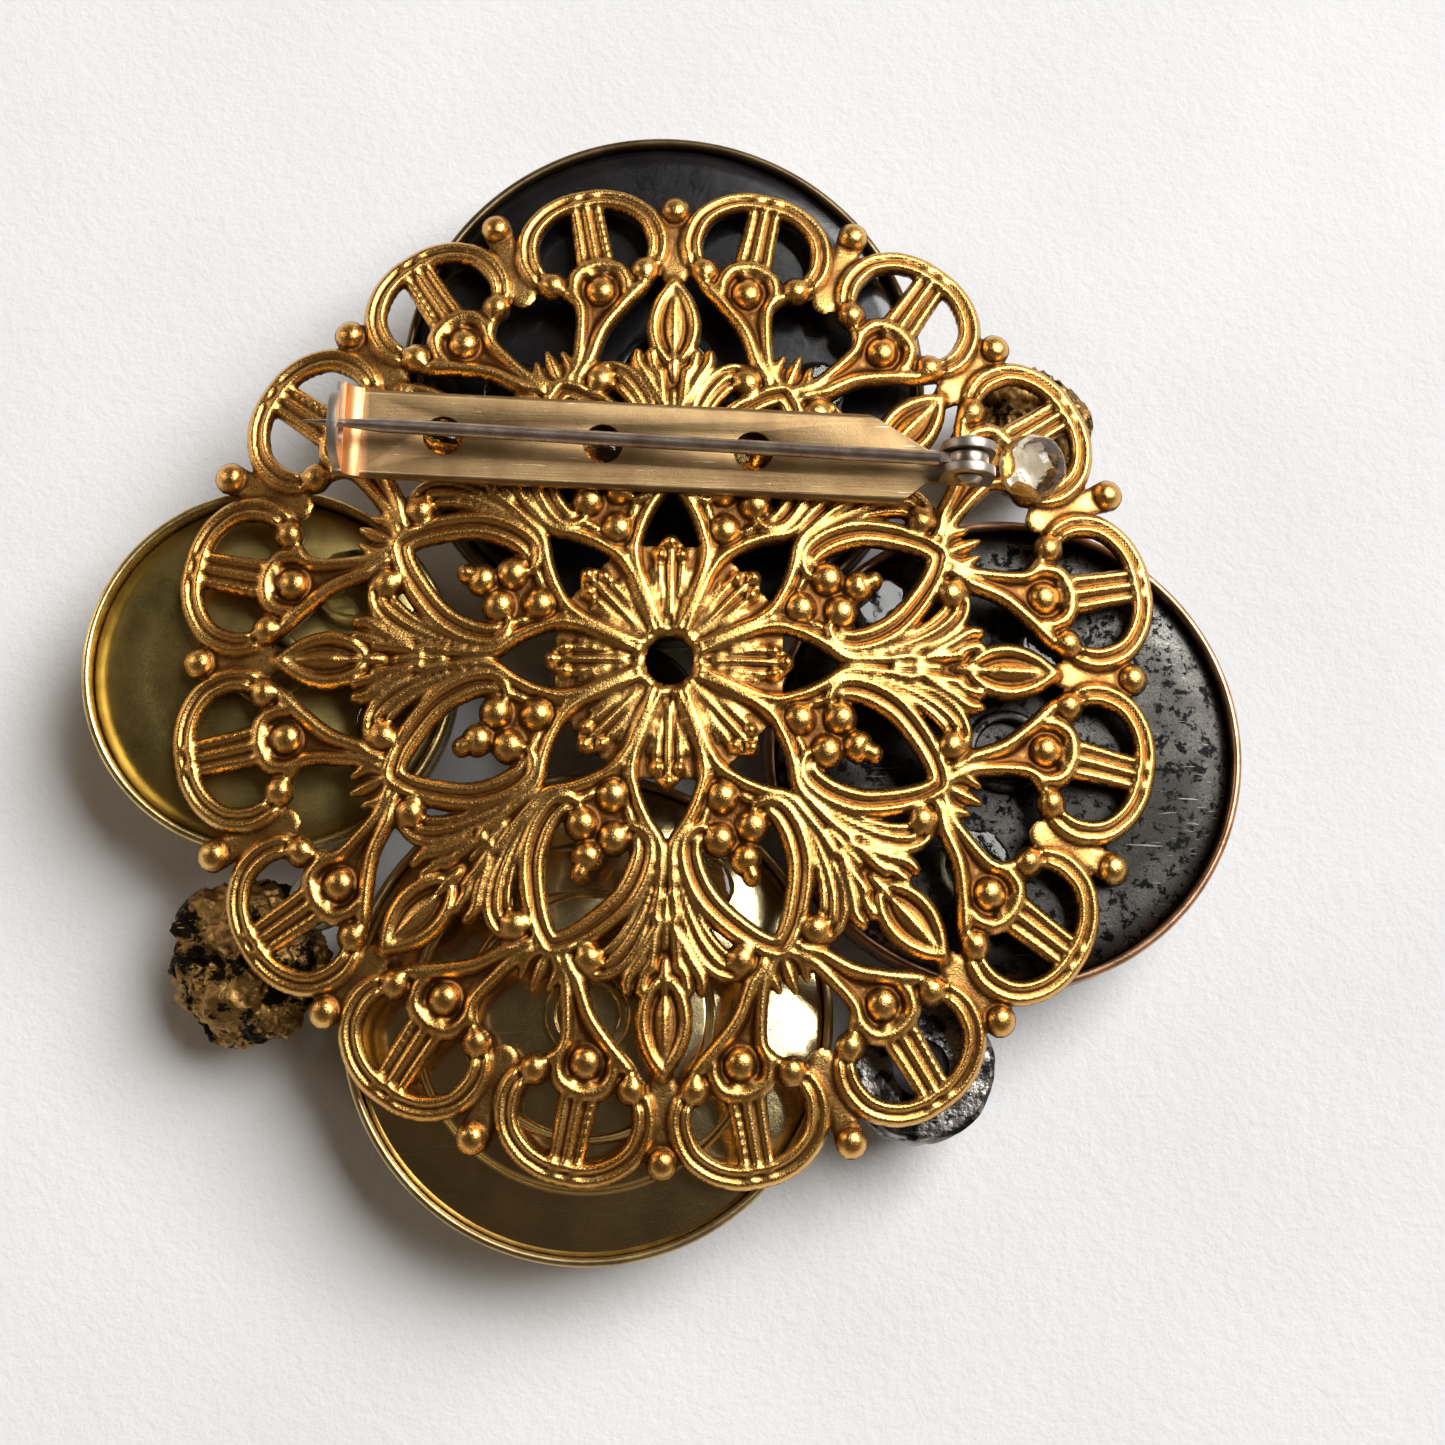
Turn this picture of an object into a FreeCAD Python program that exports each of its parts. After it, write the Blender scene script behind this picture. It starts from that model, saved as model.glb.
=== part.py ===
import FreeCAD, Part
import math
import os

# Brooch made from four old metal buttons glued under a round pierced gilt stamping, with a
# three-hole bar pin glued across its back. It lies on its face: +Z is the back of the brooch, the
# pin runs along X with its point to -X, and the origin is the middle of the stamping's centre hole.
# All sizes are millimetres.

V = FreeCAD.Vector
UP = V(0, 0, 1)

# Stamping
SHEET = 0.9                  # overall thickness of the embossed sheet
RIM_RADIUS = 27.0            # radius at which DOME_DROP is reached
DOME_DROP = 3.0              # the middle stands this much above the rim
OVAL_X = 0.98                # the stamping was bent slightly oval
OVAL_Y = 1.02
LOOPS = 16
LOOP_TIP = 28.6              # outermost reach of a loop
LOOP_NOTCH = 25.6            # the outline's dips between loops
KNOB_RADIUS = 0.85
KNOB_REACH = (26.9, 27.75)   # knob centres, on the palmette axes and on the heart axes
KNOB_NECK = 1.2              # the web behind a knob, as a share of the knob's radius
KNOB_NECK_REACH = 0.955      # and of its reach
CENTRE_HOLE = 1.34
CUT_BASE = V(0, 0, -5)       # cutters start below the domed sheet and end above it
CUT_HEIGHT = 8
DOME_SPHERE = RIM_RADIUS ** 2 / (2 * DOME_DROP)
DOME_CENTRE = V(0, 0, -DOME_SPHERE)

# Openings of the stamping, as (outwards, sideways) points on one side of a mirror axis
PETAL_GAP = [(7.4, 0.0), (8.3, 1.0), (9.7, 0.0)]
HEART_GAP = [(12.3, 0.0), (11.0, 1.5), (12.4, 2.1), (14.6, 1.4), (15.8, 0.0)]
HEART_TOP_GAP = [(19.4, 0.0), (20.6, 1.9), (22.4, 2.3), (21.9, 0.0)]
CRESCENT_GAP = [(12.6, 0.75), (13.9, 0.95), (15.5, 2.5), (14.0, 2.1)]
PALMETTE_GAP = [(17.3, 2.2), (19.4, 1.9), (21.9, 2.5), (21.0, 4.0), (18.6, 3.9)]
LOOP_GAP = [(23.0, 1.2), (25.0, 1.25), (26.9, 1.1), (26.2, 2.8), (24.2, 3.2)]

# Bar pin
BAR_CENTRE = V(0.0, 12.0, 0)
BAR_TURN = -1.75             # degrees about +Z
BAR_UNDERSIDE = 0.45
BAR_SHEET = 0.5
BAR_TOP = BAR_UNDERSIDE + BAR_SHEET
BAR_WIDTH = 5.1
BAR_EDGE_ROUND = 0.35
BAR_LEFT = -17.3             # where the catch bends up
BAR_TAPER = (10.9, 12.8, 14.3)   # far shoulder, near shoulder, start of the neck
NECK_Y = -0.35               # the neck and the hinge stand a little off the middle line
EAR_END = 17.4
EAR_SHEET = 0.5
EAR_GAP = 0.86
EAR_ROUND = 1.5
BAR_HOLES = (-12.8, -3.9, 4.5)
BAR_HOLE_RADIUS = 1.12
NECK_WIDTH = EAR_GAP + 2 * EAR_SHEET

# Pin, hinge and catch
PIN_RADIUS = 0.4
PIN_AXIS_Z = BAR_TOP + 1.45
HINGE_X = 16.4
PIN_TIP = -20.4
PIN_CONE = 4.4
EYE_RADIUS = 1.1
EYE_THICKNESS = 0.6
PIN_ASKEW = -0.6             # degrees: the pin lies slightly askew of the bar
POINT_RADIUS = 0.06
FLAT_HEIGHT = 0.84           # the wire is hammered flat between its round part and its eye
CHEEK_ROOM = 0.15            # between the ears and the wire's round part
EYE_ROOM = 0.3               # round the eye, between the ears
RIVET_RADIUS = 0.42
RIVET_FIT = 0.04
RIVET_HEAD = 0.8
RIVET_HEAD_HEIGHT = 0.35
HEAD_GAP = 0.08
CATCH_RADIUS = 2.5
CATCH_BEND = 0.9             # inner radius of the bend up into the tab
CATCH_LEAN = 8.0             # degrees outwards
CATCH_HEAD_Z = BAR_TOP + 0.15    # centre of the tab's round head
CATCH_SLOT = 0.56            # radius of the slot's closed end
CATCH_SLOT_END = -0.6        # where the slot's closed end is centred, past the pin

# Buttons: centre, outer radius, height of the rim's lip, rise of the back plate's middle
FRONT_LOW = -11.5
RIM_LIP = 1.0
RIM_HEIGHT = 2.4
RIM_WALL = 0.5
RIM_FLAT = 0.3               # the lip's outer corner is bevelled by this, and by
RIM_DROP = 0.4
PLATE_SHEET = 0.45
FRONT_SHEET = 0.7
BUTTONS = {
    "top_button": (V(-0.5, 17.3, 0), 15.2, -4.1, 0.35),
    "right_button": (V(19.2, -4.1, 0), 13.6, -4.1, 0.5),
    "left_button": (V(-22.6, 0.0, 0), 10.6, -4.1, 0.8),
    "bottom_button": (V(-4.2, -19.3, 0), 13.7, -4.4, 0.0),
}
SHANK_RADIUS = {"top_button": 3.1, "right_button": 2.4, "left_button": 2.2, "bottom_button": 2.4}
SHANK_HEIGHT = 0.6
SHANK_WALL = 0.7
SHANK_TAPER = 0.15
SHANK_LIFT = 0.02            # above the back plate's middle
PLATE_PLAY = 0.03            # round a back plate, inside its rim
LIP_PLAY = 0.02              # between a domed back plate and the lip over it
STEP_RADII = (6.6, 9.4)      # concentric steps of the bottom button's back
STEP_RISE = 0.55
STEP_SLOPE = 0.3             # each step rises over this width

# Small pieces between the buttons
NUGGETS = {
    "southwest_nugget": (V(-23.5, -16.3, -7.2), 4.9, 3.5),
    "northeast_nugget": (V(21.0, 15.8, -7.2), 4.0, 3.3),
}
NUGGET_SECTION = ((0, 1), (0.55, 0.85), (1, 0.2), (0.93, -0.45), (0.5, -1), (0, -1.05))
STONE_CENTRE = V(14.4, -21.9, -4.6)
STONE_RADIUS = 3.9
STONE_PLAY = 0.05
STONE_TABLE = 2.6            # radius of the stone's flat front
STONE_CULET = 1.5            # radius of its flat back
STONE_BACK = 1.3             # depth of its back below the setting's
STONE_BEVEL = 1.2            # its front stands out of the setting in a bevel,
STONE_FRONT = 2.1            # and then up to its flat
SETTING_RADIUS = 4.3
SETTING_HEIGHT = 3.0
SETTING_ROUND = 0.6
SETTING_FLOOR = 1.1          # thickness of its back, which is open in the middle
SETTING_HOLE = 1.6
CABOCHON_CENTRE = V(-1.8, -1.5, -5.3)
CABOCHON_RADIUS = 3.05
CABOCHON_HEIGHT = 5.2
BEZEL_RADIUS = 3.5
BEZEL_HEIGHT = 2.0
BEZEL_FLOOR = 0.5
BEZEL_ROUND = 0.3
BEZEL_PLAY = 0.03
GLASS_LIFT = 0.02            # between the glass and the bezel's floor
GIRDLE_DROP = 0.2            # the glass's round front starts this far past the bezel

# Glue pads between the stamping and what lies under it: centre and radius
PADS = {
    "top_button": ((-9.0, 16.0, 1.7), (8.2, 16.6, 1.6), (3.0, 9.6, 1.5)),
    "right_button": ((12.0, 3.6, 1.6), (17.3, -10.6, 1.8), (21.4, 1.6, 1.5)),
    "left_button": ((-18.0, 4.6, 1.9), (-15.6, -3.2, 1.7), (-21.6, -3.6, 1.6)),
    "bottom_button": ((-9.0, -12.0, 1.7), (2.0, -12.3, 1.7), (-4.2, -21.6, 1.5)),
    "nuggets": ((-19.2, -13.2, 1.5), (17.6, 13.4, 1.6)),
    "stone": ((12.6, -19.2, 1.5),),
    "cabochon": ((-3.1, -1.6, 1.2),),
}
PAD_SPREAD = 1.15            # a pad's foot, as a share of its radius
PAD_HEIGHT = 6
NUGGET_PAD_FOOT = -4.0
PLATE_PAD_FOOT = -0.05       # below the lip's underside, in the domed back plates
BED_SIZE = (26.0, 3.8)       # glue under the bar
BED_INSET = 0.8
DROP_PLAY = 0.03             # between a drop and its hole in the bar
DROP_FOOT = 0.2              # below the bar's underside
DROP_RISE = 0.42             # above it
HINGE_BLOB = V(20.5, 11.9, -1.5)
HINGE_BLOB_RADIUS = 2.0

os.makedirs("parts", exist_ok=True)


def save(shape, node):
    shape.exportStep(f"parts/{node}.step")


def moved(shape, offset):
    copy = shape.copy()
    copy.translate(offset)
    return copy


def place(outwards, sideways, degrees):
    """A stamping point, given along and across one of its axes, in the oval frame."""
    turn = math.radians(degrees)
    x = outwards * math.cos(turn) - sideways * math.sin(turn)
    y = outwards * math.sin(turn) + sideways * math.cos(turn)
    return V(x * OVAL_X, y * OVAL_Y, 0)


def closed_curve(points):
    curve = Part.BSplineCurve()
    curve.interpolate(points, PeriodicFlag=True)
    return Part.Wire(curve.toShape())


def gap_tool(points, degrees):
    """A cutter for one opening, tall enough to pass through the domed sheet."""
    face = Part.Face(closed_curve([place(u, v, degrees) for u, v in points]))
    return moved(face, CUT_BASE).extrude(UP * CUT_HEIGHT)


def mirrored(points):
    """A whole outline from its half on one side of the axis; end points on the axis stay single."""
    return points + [(u, -v) for u, v in reversed(points) if v]


def other_side(points):
    return [(u, -v) for u, v in points]


def dome_shell():
    outer = Part.makeSphere(DOME_SPHERE + SHEET / 2, DOME_CENTRE)
    inner = Part.makeSphere(DOME_SPHERE - SHEET / 2, DOME_CENTRE)
    return outer.cut(inner)


def under_dome(shape):
    """What of a shape lies below the stamping's underside."""
    return shape.common(Part.makeSphere(DOME_SPHERE - SHEET / 2, DOME_CENTRE))


def stamping():
    pitch = 360.0 / LOOPS
    arcs = []
    for loop in range(LOOPS):
        start = place(LOOP_NOTCH, 0, loop * pitch)
        tip = place(LOOP_TIP, 0, (loop + 0.5) * pitch)
        end = place(LOOP_NOTCH, 0, (loop + 1) * pitch)
        arcs.append(Part.Arc(start, tip, end).toShape())
    blank = moved(Part.Face(Part.Wire(arcs)), CUT_BASE).extrude(UP * CUT_HEIGHT)
    knobs = []
    for loop in range(LOOPS):
        centre = place(KNOB_REACH[loop % 2], 0, loop * pitch)
        neck = centre * KNOB_NECK_REACH
        knobs.append(Part.makeCylinder(KNOB_RADIUS, CUT_HEIGHT, centre + CUT_BASE))
        knobs.append(Part.makeCylinder(KNOB_NECK * KNOB_RADIUS, CUT_HEIGHT, neck + CUT_BASE))
    cutters = []
    for loop in range(LOOPS):
        middle = (loop + 0.5) * pitch
        cutters += [gap_tool(LOOP_GAP, middle), gap_tool(other_side(LOOP_GAP), middle)]
    for axis in range(LOOPS // 2):
        palmette = axis * 2 * pitch
        heart = palmette + pitch
        cutters += [gap_tool(mirrored(PETAL_GAP), palmette), gap_tool(mirrored(HEART_GAP), heart)]
        cutters.append(gap_tool(mirrored(HEART_TOP_GAP), heart))
        for points in (CRESCENT_GAP, PALMETTE_GAP):
            cutters += [gap_tool(points, palmette), gap_tool(other_side(points), palmette)]
    cutters.append(Part.makeCylinder(CENTRE_HOLE, CUT_HEIGHT, CUT_BASE))
    return blank.fuse(knobs).cut(cutters).common(dome_shell())


def to_bar(shape, turn=BAR_TURN):
    """From the bar's own frame, with X along it, to where it is glued."""
    copy = shape.copy()
    copy.rotate(V(0, 0, 0), UP, turn)
    return moved(copy, BAR_CENTRE)


def plate_of(points, thickness, base):
    """A flat plate with straight edges."""
    corners = [V(x, y, base) for x, y in points]
    return Part.Face(Part.makePolygon(corners + corners[:1])).extrude(UP * thickness)


def rivet_hole(radius):
    return Part.makeCylinder(radius, 8, V(HINGE_X, NECK_Y - 4, PIN_AXIS_Z), V(0, 1, 0))


def bar_strip():
    half = BAR_WIDTH / 2
    neck_low = NECK_Y - NECK_WIDTH / 2
    neck_high = NECK_Y + NECK_WIDTH / 2
    far, near, neck = BAR_TAPER
    outline = [(BAR_LEFT, -half), (near, -half), (neck, neck_low), (EAR_END, neck_low),
               (EAR_END, neck_high), (neck, neck_high), (far, half), (BAR_LEFT, half)]
    strip = plate_of(outline, BAR_SHEET, BAR_UNDERSIDE)
    long_edges = []
    for edge in strip.Edges:
        box = edge.BoundBox
        if box.ZMin > BAR_TOP - 0.01 and box.XLength > 20 and box.YLength < 0.01:
            long_edges.append(edge)
    strip = strip.makeFillet(BAR_EDGE_ROUND, long_edges)
    holes = [Part.makeCylinder(BAR_HOLE_RADIUS, 4, V(x, 0, BAR_UNDERSIDE - 1)) for x in BAR_HOLES]
    return strip.cut(holes)


def ears():
    """Two upright cheeks with rounded heads, and the room that the pin's eye turns in."""
    cheeks = []
    for side in (-1, 1):
        y = NECK_Y + side * (EAR_GAP + EAR_SHEET) / 2 - EAR_SHEET / 2
        foot = Part.makeBox(2 * EAR_ROUND, EAR_SHEET, PIN_AXIS_Z - BAR_UNDERSIDE,
                            V(HINGE_X - EAR_ROUND, y, BAR_UNDERSIDE))
        head = Part.makeCylinder(EAR_ROUND, EAR_SHEET, V(HINGE_X, y, PIN_AXIS_Z), V(0, 1, 0))
        cheeks.append(foot.fuse(head))
    corner = V(HINGE_X, NECK_Y - EAR_GAP / 2, PIN_AXIS_Z)
    eye_room = Part.makeCylinder(EYE_RADIUS + EYE_ROOM, EAR_GAP, corner, V(0, 1, 0))
    return cheeks, eye_room


def catch():
    """The bar's end bent up into a round-headed tab, with a slot for the pin open towards +Y."""
    outer = CATCH_BEND + BAR_SHEET
    bend_z = BAR_TOP + CATCH_BEND
    bend_axis = V(BAR_LEFT, -BAR_WIDTH / 2, bend_z)
    ring = Part.makeCylinder(outer, BAR_WIDTH, bend_axis, V(0, 1, 0))
    ring = ring.cut(Part.makeCylinder(CATCH_BEND, BAR_WIDTH, bend_axis, V(0, 1, 0)))
    corner = Part.makeBox(outer, BAR_WIDTH, outer, V(BAR_LEFT - outer, -BAR_WIDTH / 2, BAR_UNDERSIDE))
    curl = ring.common(corner)
    left = BAR_LEFT - outer
    head = Part.makeCylinder(CATCH_RADIUS, BAR_SHEET, V(left, 0, CATCH_HEAD_Z), V(1, 0, 0))
    below = Part.makeBox(BAR_SHEET, 4 * CATCH_RADIUS, 4, V(left, -2 * CATCH_RADIUS, bend_z - 4.2))
    slot_end = Part.makeCylinder(CATCH_SLOT, 3, V(left - 1, CATCH_SLOT_END, PIN_AXIS_Z), V(1, 0, 0))
    mouth = Part.makeBox(3, 2 * CATCH_RADIUS, 2 * CATCH_SLOT,
                         V(left - 1, CATCH_SLOT_END, PIN_AXIS_Z - CATCH_SLOT))
    tab = head.cut([below, slot_end, mouth])
    tab.rotate(V(left, 0, bend_z - 0.1), V(0, 1, 0), -CATCH_LEAN)
    return curl, tab


def pin_bar():
    cheeks, eye_room = ears()
    curl, tab = catch()
    solid = bar_strip().fuse(cheeks + [curl, tab]).cut([rivet_hole(RIVET_RADIUS + RIVET_FIT), eye_room])
    return to_bar(solid.removeSplitter())


def hinge_rivet():
    half = NECK_WIDTH / 2 + HEAD_GAP
    shaft = Part.makeCylinder(RIVET_RADIUS, 2 * half, V(HINGE_X, NECK_Y - half, PIN_AXIS_Z), V(0, 1, 0))
    heads = []
    for side in (-1, 1):
        foot = V(HINGE_X, NECK_Y + side * half, PIN_AXIS_Z)
        heads.append(Part.makeCone(RIVET_HEAD, 0.6 * RIVET_HEAD, RIVET_HEAD_HEIGHT, foot, V(0, side, 0)))
    return to_bar(shaft.fuse(heads))


def pin_stem():
    """Round wire with a long point, hammered flat towards its eye; the eye's hole runs on the rivet."""
    start = V(PIN_TIP + PIN_CONE, NECK_Y, PIN_AXIS_Z)
    flat = EAR_ROUND + CHEEK_ROOM
    wire = Part.makeCylinder(PIN_RADIUS, HINGE_X - flat - start.x, start, V(1, 0, 0))
    point = Part.makeCone(PIN_RADIUS, POINT_RADIUS, PIN_CONE, start, V(-1, 0, 0))
    eye_side = NECK_Y - EYE_THICKNESS / 2
    eye = Part.makeCylinder(EYE_RADIUS, EYE_THICKNESS, V(HINGE_X, eye_side, PIN_AXIS_Z), V(0, 1, 0))
    strap = Part.makeBox(flat, EYE_THICKNESS, FLAT_HEIGHT,
                         V(HINGE_X - flat, eye_side, PIN_AXIS_Z - FLAT_HEIGHT / 2))
    solid = wire.fuse([point, strap, eye]).cut(rivet_hole(RIVET_RADIUS + 1.5 * RIVET_FIT))
    solid.rotate(V(HINGE_X, NECK_Y, 0), UP, PIN_ASKEW)
    return to_bar(solid.removeSplitter())


def turned(profile, centre):
    """A solid of revolution about the upright line through centre; profile is (radius, z)."""
    edges = []
    points = [V(r, 0, z) for r, z in profile]
    for start, end in zip(points, points[1:] + points[:1]):
        edges.append(Part.makeLine(start, end))
    solid = Part.Face(Part.Wire(edges)).revolve(V(0, 0, 0), UP, 360)
    return moved(solid, V(centre.x, centre.y, 0))


def cap_arc(radius, edge_z, middle_z):
    """Half of a round dome's section, from its edge to its middle; its centre is on the axis."""
    rise = middle_z - edge_z
    ball = (radius ** 2 + rise ** 2) / (2 * rise)
    half_r = radius / 2
    half_z = middle_z - ball + math.copysign(math.sqrt(ball ** 2 - half_r ** 2), ball)
    return Part.Arc(V(radius, 0, edge_z), V(half_r, 0, half_z), V(0, 0, middle_z)).toShape()


def spun(edges, centre):
    """The solid that a closed section sweeps about the upright line through centre."""
    wire = Part.Wire(Part.__sortEdges__(edges))
    solid = Part.Face(wire).revolve(V(0, 0, 0), UP, 360)
    return moved(solid, V(centre.x, centre.y, 0))


def domed(radius, edge_z, middle_z, sheet, centre):
    """A domed round plate of even thickness, from its upper face at the edge and the middle."""
    top = cap_arc(radius, edge_z, middle_z)
    low = cap_arc(radius, edge_z - sheet, middle_z - sheet)
    axis = Part.makeLine(V(0, 0, middle_z), V(0, 0, middle_z - sheet))
    edge = Part.makeLine(V(radius, 0, edge_z - sheet), V(radius, 0, edge_z))
    return spun([top, axis, low, edge], centre)


def button(name):
    centre, radius, lip_z, rise = BUTTONS[name]
    under_lip = lip_z - RIM_WALL
    rim_low = lip_z - RIM_HEIGHT
    lip = radius - RIM_LIP
    wall = radius - RIM_WALL
    rim = turned([(lip, lip_z), (radius - RIM_FLAT, lip_z), (radius, lip_z - RIM_DROP), (radius, rim_low),
                  (wall, rim_low), (wall, under_lip), (lip, under_lip)], centre)
    plate_radius = wall - PLATE_PLAY
    if name == "bottom_button":
        plate = stepped_plate(plate_radius, under_lip, centre)
        middle = under_lip + 2 * STEP_RISE
    else:
        rise_at_lip = rise * (1 - (lip / plate_radius) ** 2)
        edge_z = under_lip - rise_at_lip - LIP_PLAY
        middle = edge_z + rise
        plate = domed(plate_radius, edge_z, middle, PLATE_SHEET, centre)
    front = domed(radius, rim_low, FRONT_LOW + FRONT_SHEET, FRONT_SHEET, centre)
    save(rim, f"{name}_rim")
    save(plate, f"{name}_back_plate")
    save(front, f"{name}_front")
    save(shank(centre, SHANK_RADIUS[name], middle), f"{name}_shank")


def stepped_plate(radius, edge_z, centre):
    """A flat back that rises in two concentric steps towards its middle."""
    top = [(radius, edge_z)]
    height = edge_z
    for step in reversed(STEP_RADII):
        top += [(step + STEP_SLOPE, height), (step, height + STEP_RISE)]
        height += STEP_RISE
    top.append((0, height))
    low = [(r, z - PLATE_SHEET) for r, z in reversed(top)]
    return turned(top + low, centre)


def shank(centre, radius, base):
    """The round boss that the sewing loop was cut from, open in the middle."""
    low = base + SHANK_LIFT
    high = base + SHANK_HEIGHT
    inner = radius - SHANK_WALL
    return turned([(radius, low), (radius - SHANK_TAPER, high), (inner, high), (inner, low)], centre)


def nugget(centre, radius, half_height):
    """A rough lump, as a low barrel with a broken edge."""
    return turned([(r * radius, centre.z + h * half_height) for r, h in NUGGET_SECTION], centre)


def stone_and_setting():
    z = STONE_CENTRE.z
    edge = z - SETTING_HEIGHT
    ledge = z - SETTING_FLOOR
    setting = turned([(SETTING_RADIUS - SETTING_ROUND, z), (SETTING_RADIUS, z - SETTING_ROUND),
                      (SETTING_RADIUS, edge), (STONE_RADIUS, edge), (STONE_RADIUS, ledge),
                      (SETTING_HOLE, ledge), (SETTING_HOLE, z)], STONE_CENTRE)
    back = z - STONE_BACK
    front = edge - STONE_FRONT
    stone = turned([(0, back), (STONE_CULET, back), (STONE_RADIUS - STONE_PLAY, edge),
                    (STONE_RADIUS - SETTING_ROUND, edge - STONE_BEVEL), (STONE_TABLE, front),
                    (0, front)], STONE_CENTRE)
    return stone, setting


def cabochon_and_bezel():
    z = CABOCHON_CENTRE.z
    seat = z - BEZEL_FLOOR
    bezel_low = z - BEZEL_HEIGHT
    inner = CABOCHON_RADIUS + BEZEL_PLAY
    bezel = turned([(0, z), (BEZEL_RADIUS - BEZEL_ROUND, z), (BEZEL_RADIUS, z - BEZEL_ROUND),
                    (BEZEL_RADIUS, bezel_low), (inner, bezel_low), (inner, seat), (0, seat)],
                   CABOCHON_CENTRE)
    girdle = bezel_low - GIRDLE_DROP
    low = z - CABOCHON_HEIGHT
    top = seat - GLASS_LIFT
    back = Part.makeLine(V(0, 0, top), V(CABOCHON_RADIUS, 0, top))
    side = Part.makeLine(V(CABOCHON_RADIUS, 0, top), V(CABOCHON_RADIUS, 0, girdle))
    axis = Part.makeLine(V(0, 0, low), V(0, 0, top))
    glass = spun([back, side, cap_arc(CABOCHON_RADIUS, girdle, low), axis], CABOCHON_CENTRE)
    return glass, bezel


def glue_pad(x, y, radius, foot):
    """A squat drop from what it stands on, at height foot, up to the stamping's underside."""
    return under_dome(Part.makeCone(PAD_SPREAD * radius, radius, PAD_HEIGHT, V(x, y, foot)))


def pad_foot(owner):
    if owner == "nuggets":
        return NUGGET_PAD_FOOT
    if owner == "stone":
        return STONE_CENTRE.z
    if owner == "cabochon":
        return CABOCHON_CENTRE.z
    if owner == "bottom_button":
        return BUTTONS[owner][2] - RIM_WALL
    return BUTTONS[owner][2] - RIM_WALL + PLATE_PAD_FOOT


def glue_drop(x):
    """Glue that has come up a hole of the bar and set with a rounded top, just under the bar's."""
    radius = BAR_HOLE_RADIUS - DROP_PLAY
    foot = BAR_UNDERSIDE - DROP_FOOT
    top = BAR_UNDERSIDE + DROP_RISE
    base = Part.makeLine(V(0, 0, foot), V(radius, 0, foot))
    side = Part.makeLine(V(radius, 0, foot), V(radius, 0, BAR_UNDERSIDE))
    axis = Part.makeLine(V(0, 0, top), V(0, 0, foot))
    return spun([base, side, cap_arc(radius, BAR_UNDERSIDE, top), axis], V(x, 0, 0))


def bar_adhesive():
    """Glue that fills between the bar and the domed sheet, and stands up as a drop in each hole."""
    length, width = BED_SIZE
    bed = Part.makeBox(length, width, 3, V(BAR_LEFT + BED_INSET, -width / 2, BAR_UNDERSIDE - 3))
    whole = to_bar(bed.fuse([glue_drop(x) for x in BAR_HOLES]).removeSplitter())
    return whole.cut(Part.makeSphere(DOME_SPHERE + SHEET / 2, DOME_CENTRE))


def hinge_adhesive():
    blob = Part.makeSphere(HINGE_BLOB_RADIUS, HINGE_BLOB)
    return blob.cut(Part.makeSphere(DOME_SPHERE + SHEET / 2, DOME_CENTRE))


save(stamping(), "filigree_backing")
save(pin_bar(), "pin_bar")
save(hinge_rivet(), "hinge_rivet")
save(pin_stem(), "pin_stem")
for button_name in BUTTONS:
    button(button_name)
for nugget_name, (spot, size, height) in NUGGETS.items():
    save(nugget(spot, size, height), nugget_name)
stone_solid, setting_solid = stone_and_setting()
save(stone_solid, "southeast_stone")
save(setting_solid, "southeast_stone_setting")
glass_solid, bezel_solid = cabochon_and_bezel()
save(glass_solid, "centre_cabochon")
save(bezel_solid, "centre_cabochon_bezel")
pads = [glue_pad(x, y, r, pad_foot(owner)) for owner, spots in PADS.items() for x, y, r in spots]
save(Part.makeCompound(pads), "filigree_adhesive")
save(bar_adhesive(), "bar_adhesive")
save(hinge_adhesive(), "hinge_adhesive")
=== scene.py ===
import math

import bmesh
import bpy
import numpy as np
from mathutils import Matrix, Vector, noise


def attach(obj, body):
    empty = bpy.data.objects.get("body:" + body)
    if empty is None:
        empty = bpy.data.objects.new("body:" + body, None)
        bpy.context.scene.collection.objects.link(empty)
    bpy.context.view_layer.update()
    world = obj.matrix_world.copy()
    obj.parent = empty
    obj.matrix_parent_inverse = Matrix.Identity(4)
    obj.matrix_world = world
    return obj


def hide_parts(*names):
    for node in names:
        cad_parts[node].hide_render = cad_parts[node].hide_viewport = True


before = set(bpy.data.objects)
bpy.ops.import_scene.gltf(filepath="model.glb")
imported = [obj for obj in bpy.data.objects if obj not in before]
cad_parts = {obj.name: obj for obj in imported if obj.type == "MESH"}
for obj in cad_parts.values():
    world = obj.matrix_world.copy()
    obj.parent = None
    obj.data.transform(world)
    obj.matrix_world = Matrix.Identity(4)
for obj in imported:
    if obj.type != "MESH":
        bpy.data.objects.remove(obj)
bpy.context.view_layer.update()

mm = 0.001  # every size below is in millimetres and becomes metres through this
print("frame loaded")

cameraSettings = {
    "distance": 140.0,
    "tilt": 10.5,  # degrees away from straight down
    "azimuth": -10.28,
    "roll": 0.60,
    "target": (2.971, -3.397, 0.0),
    "lens": 63.29,
    "sensor": 36.0,
}


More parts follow.
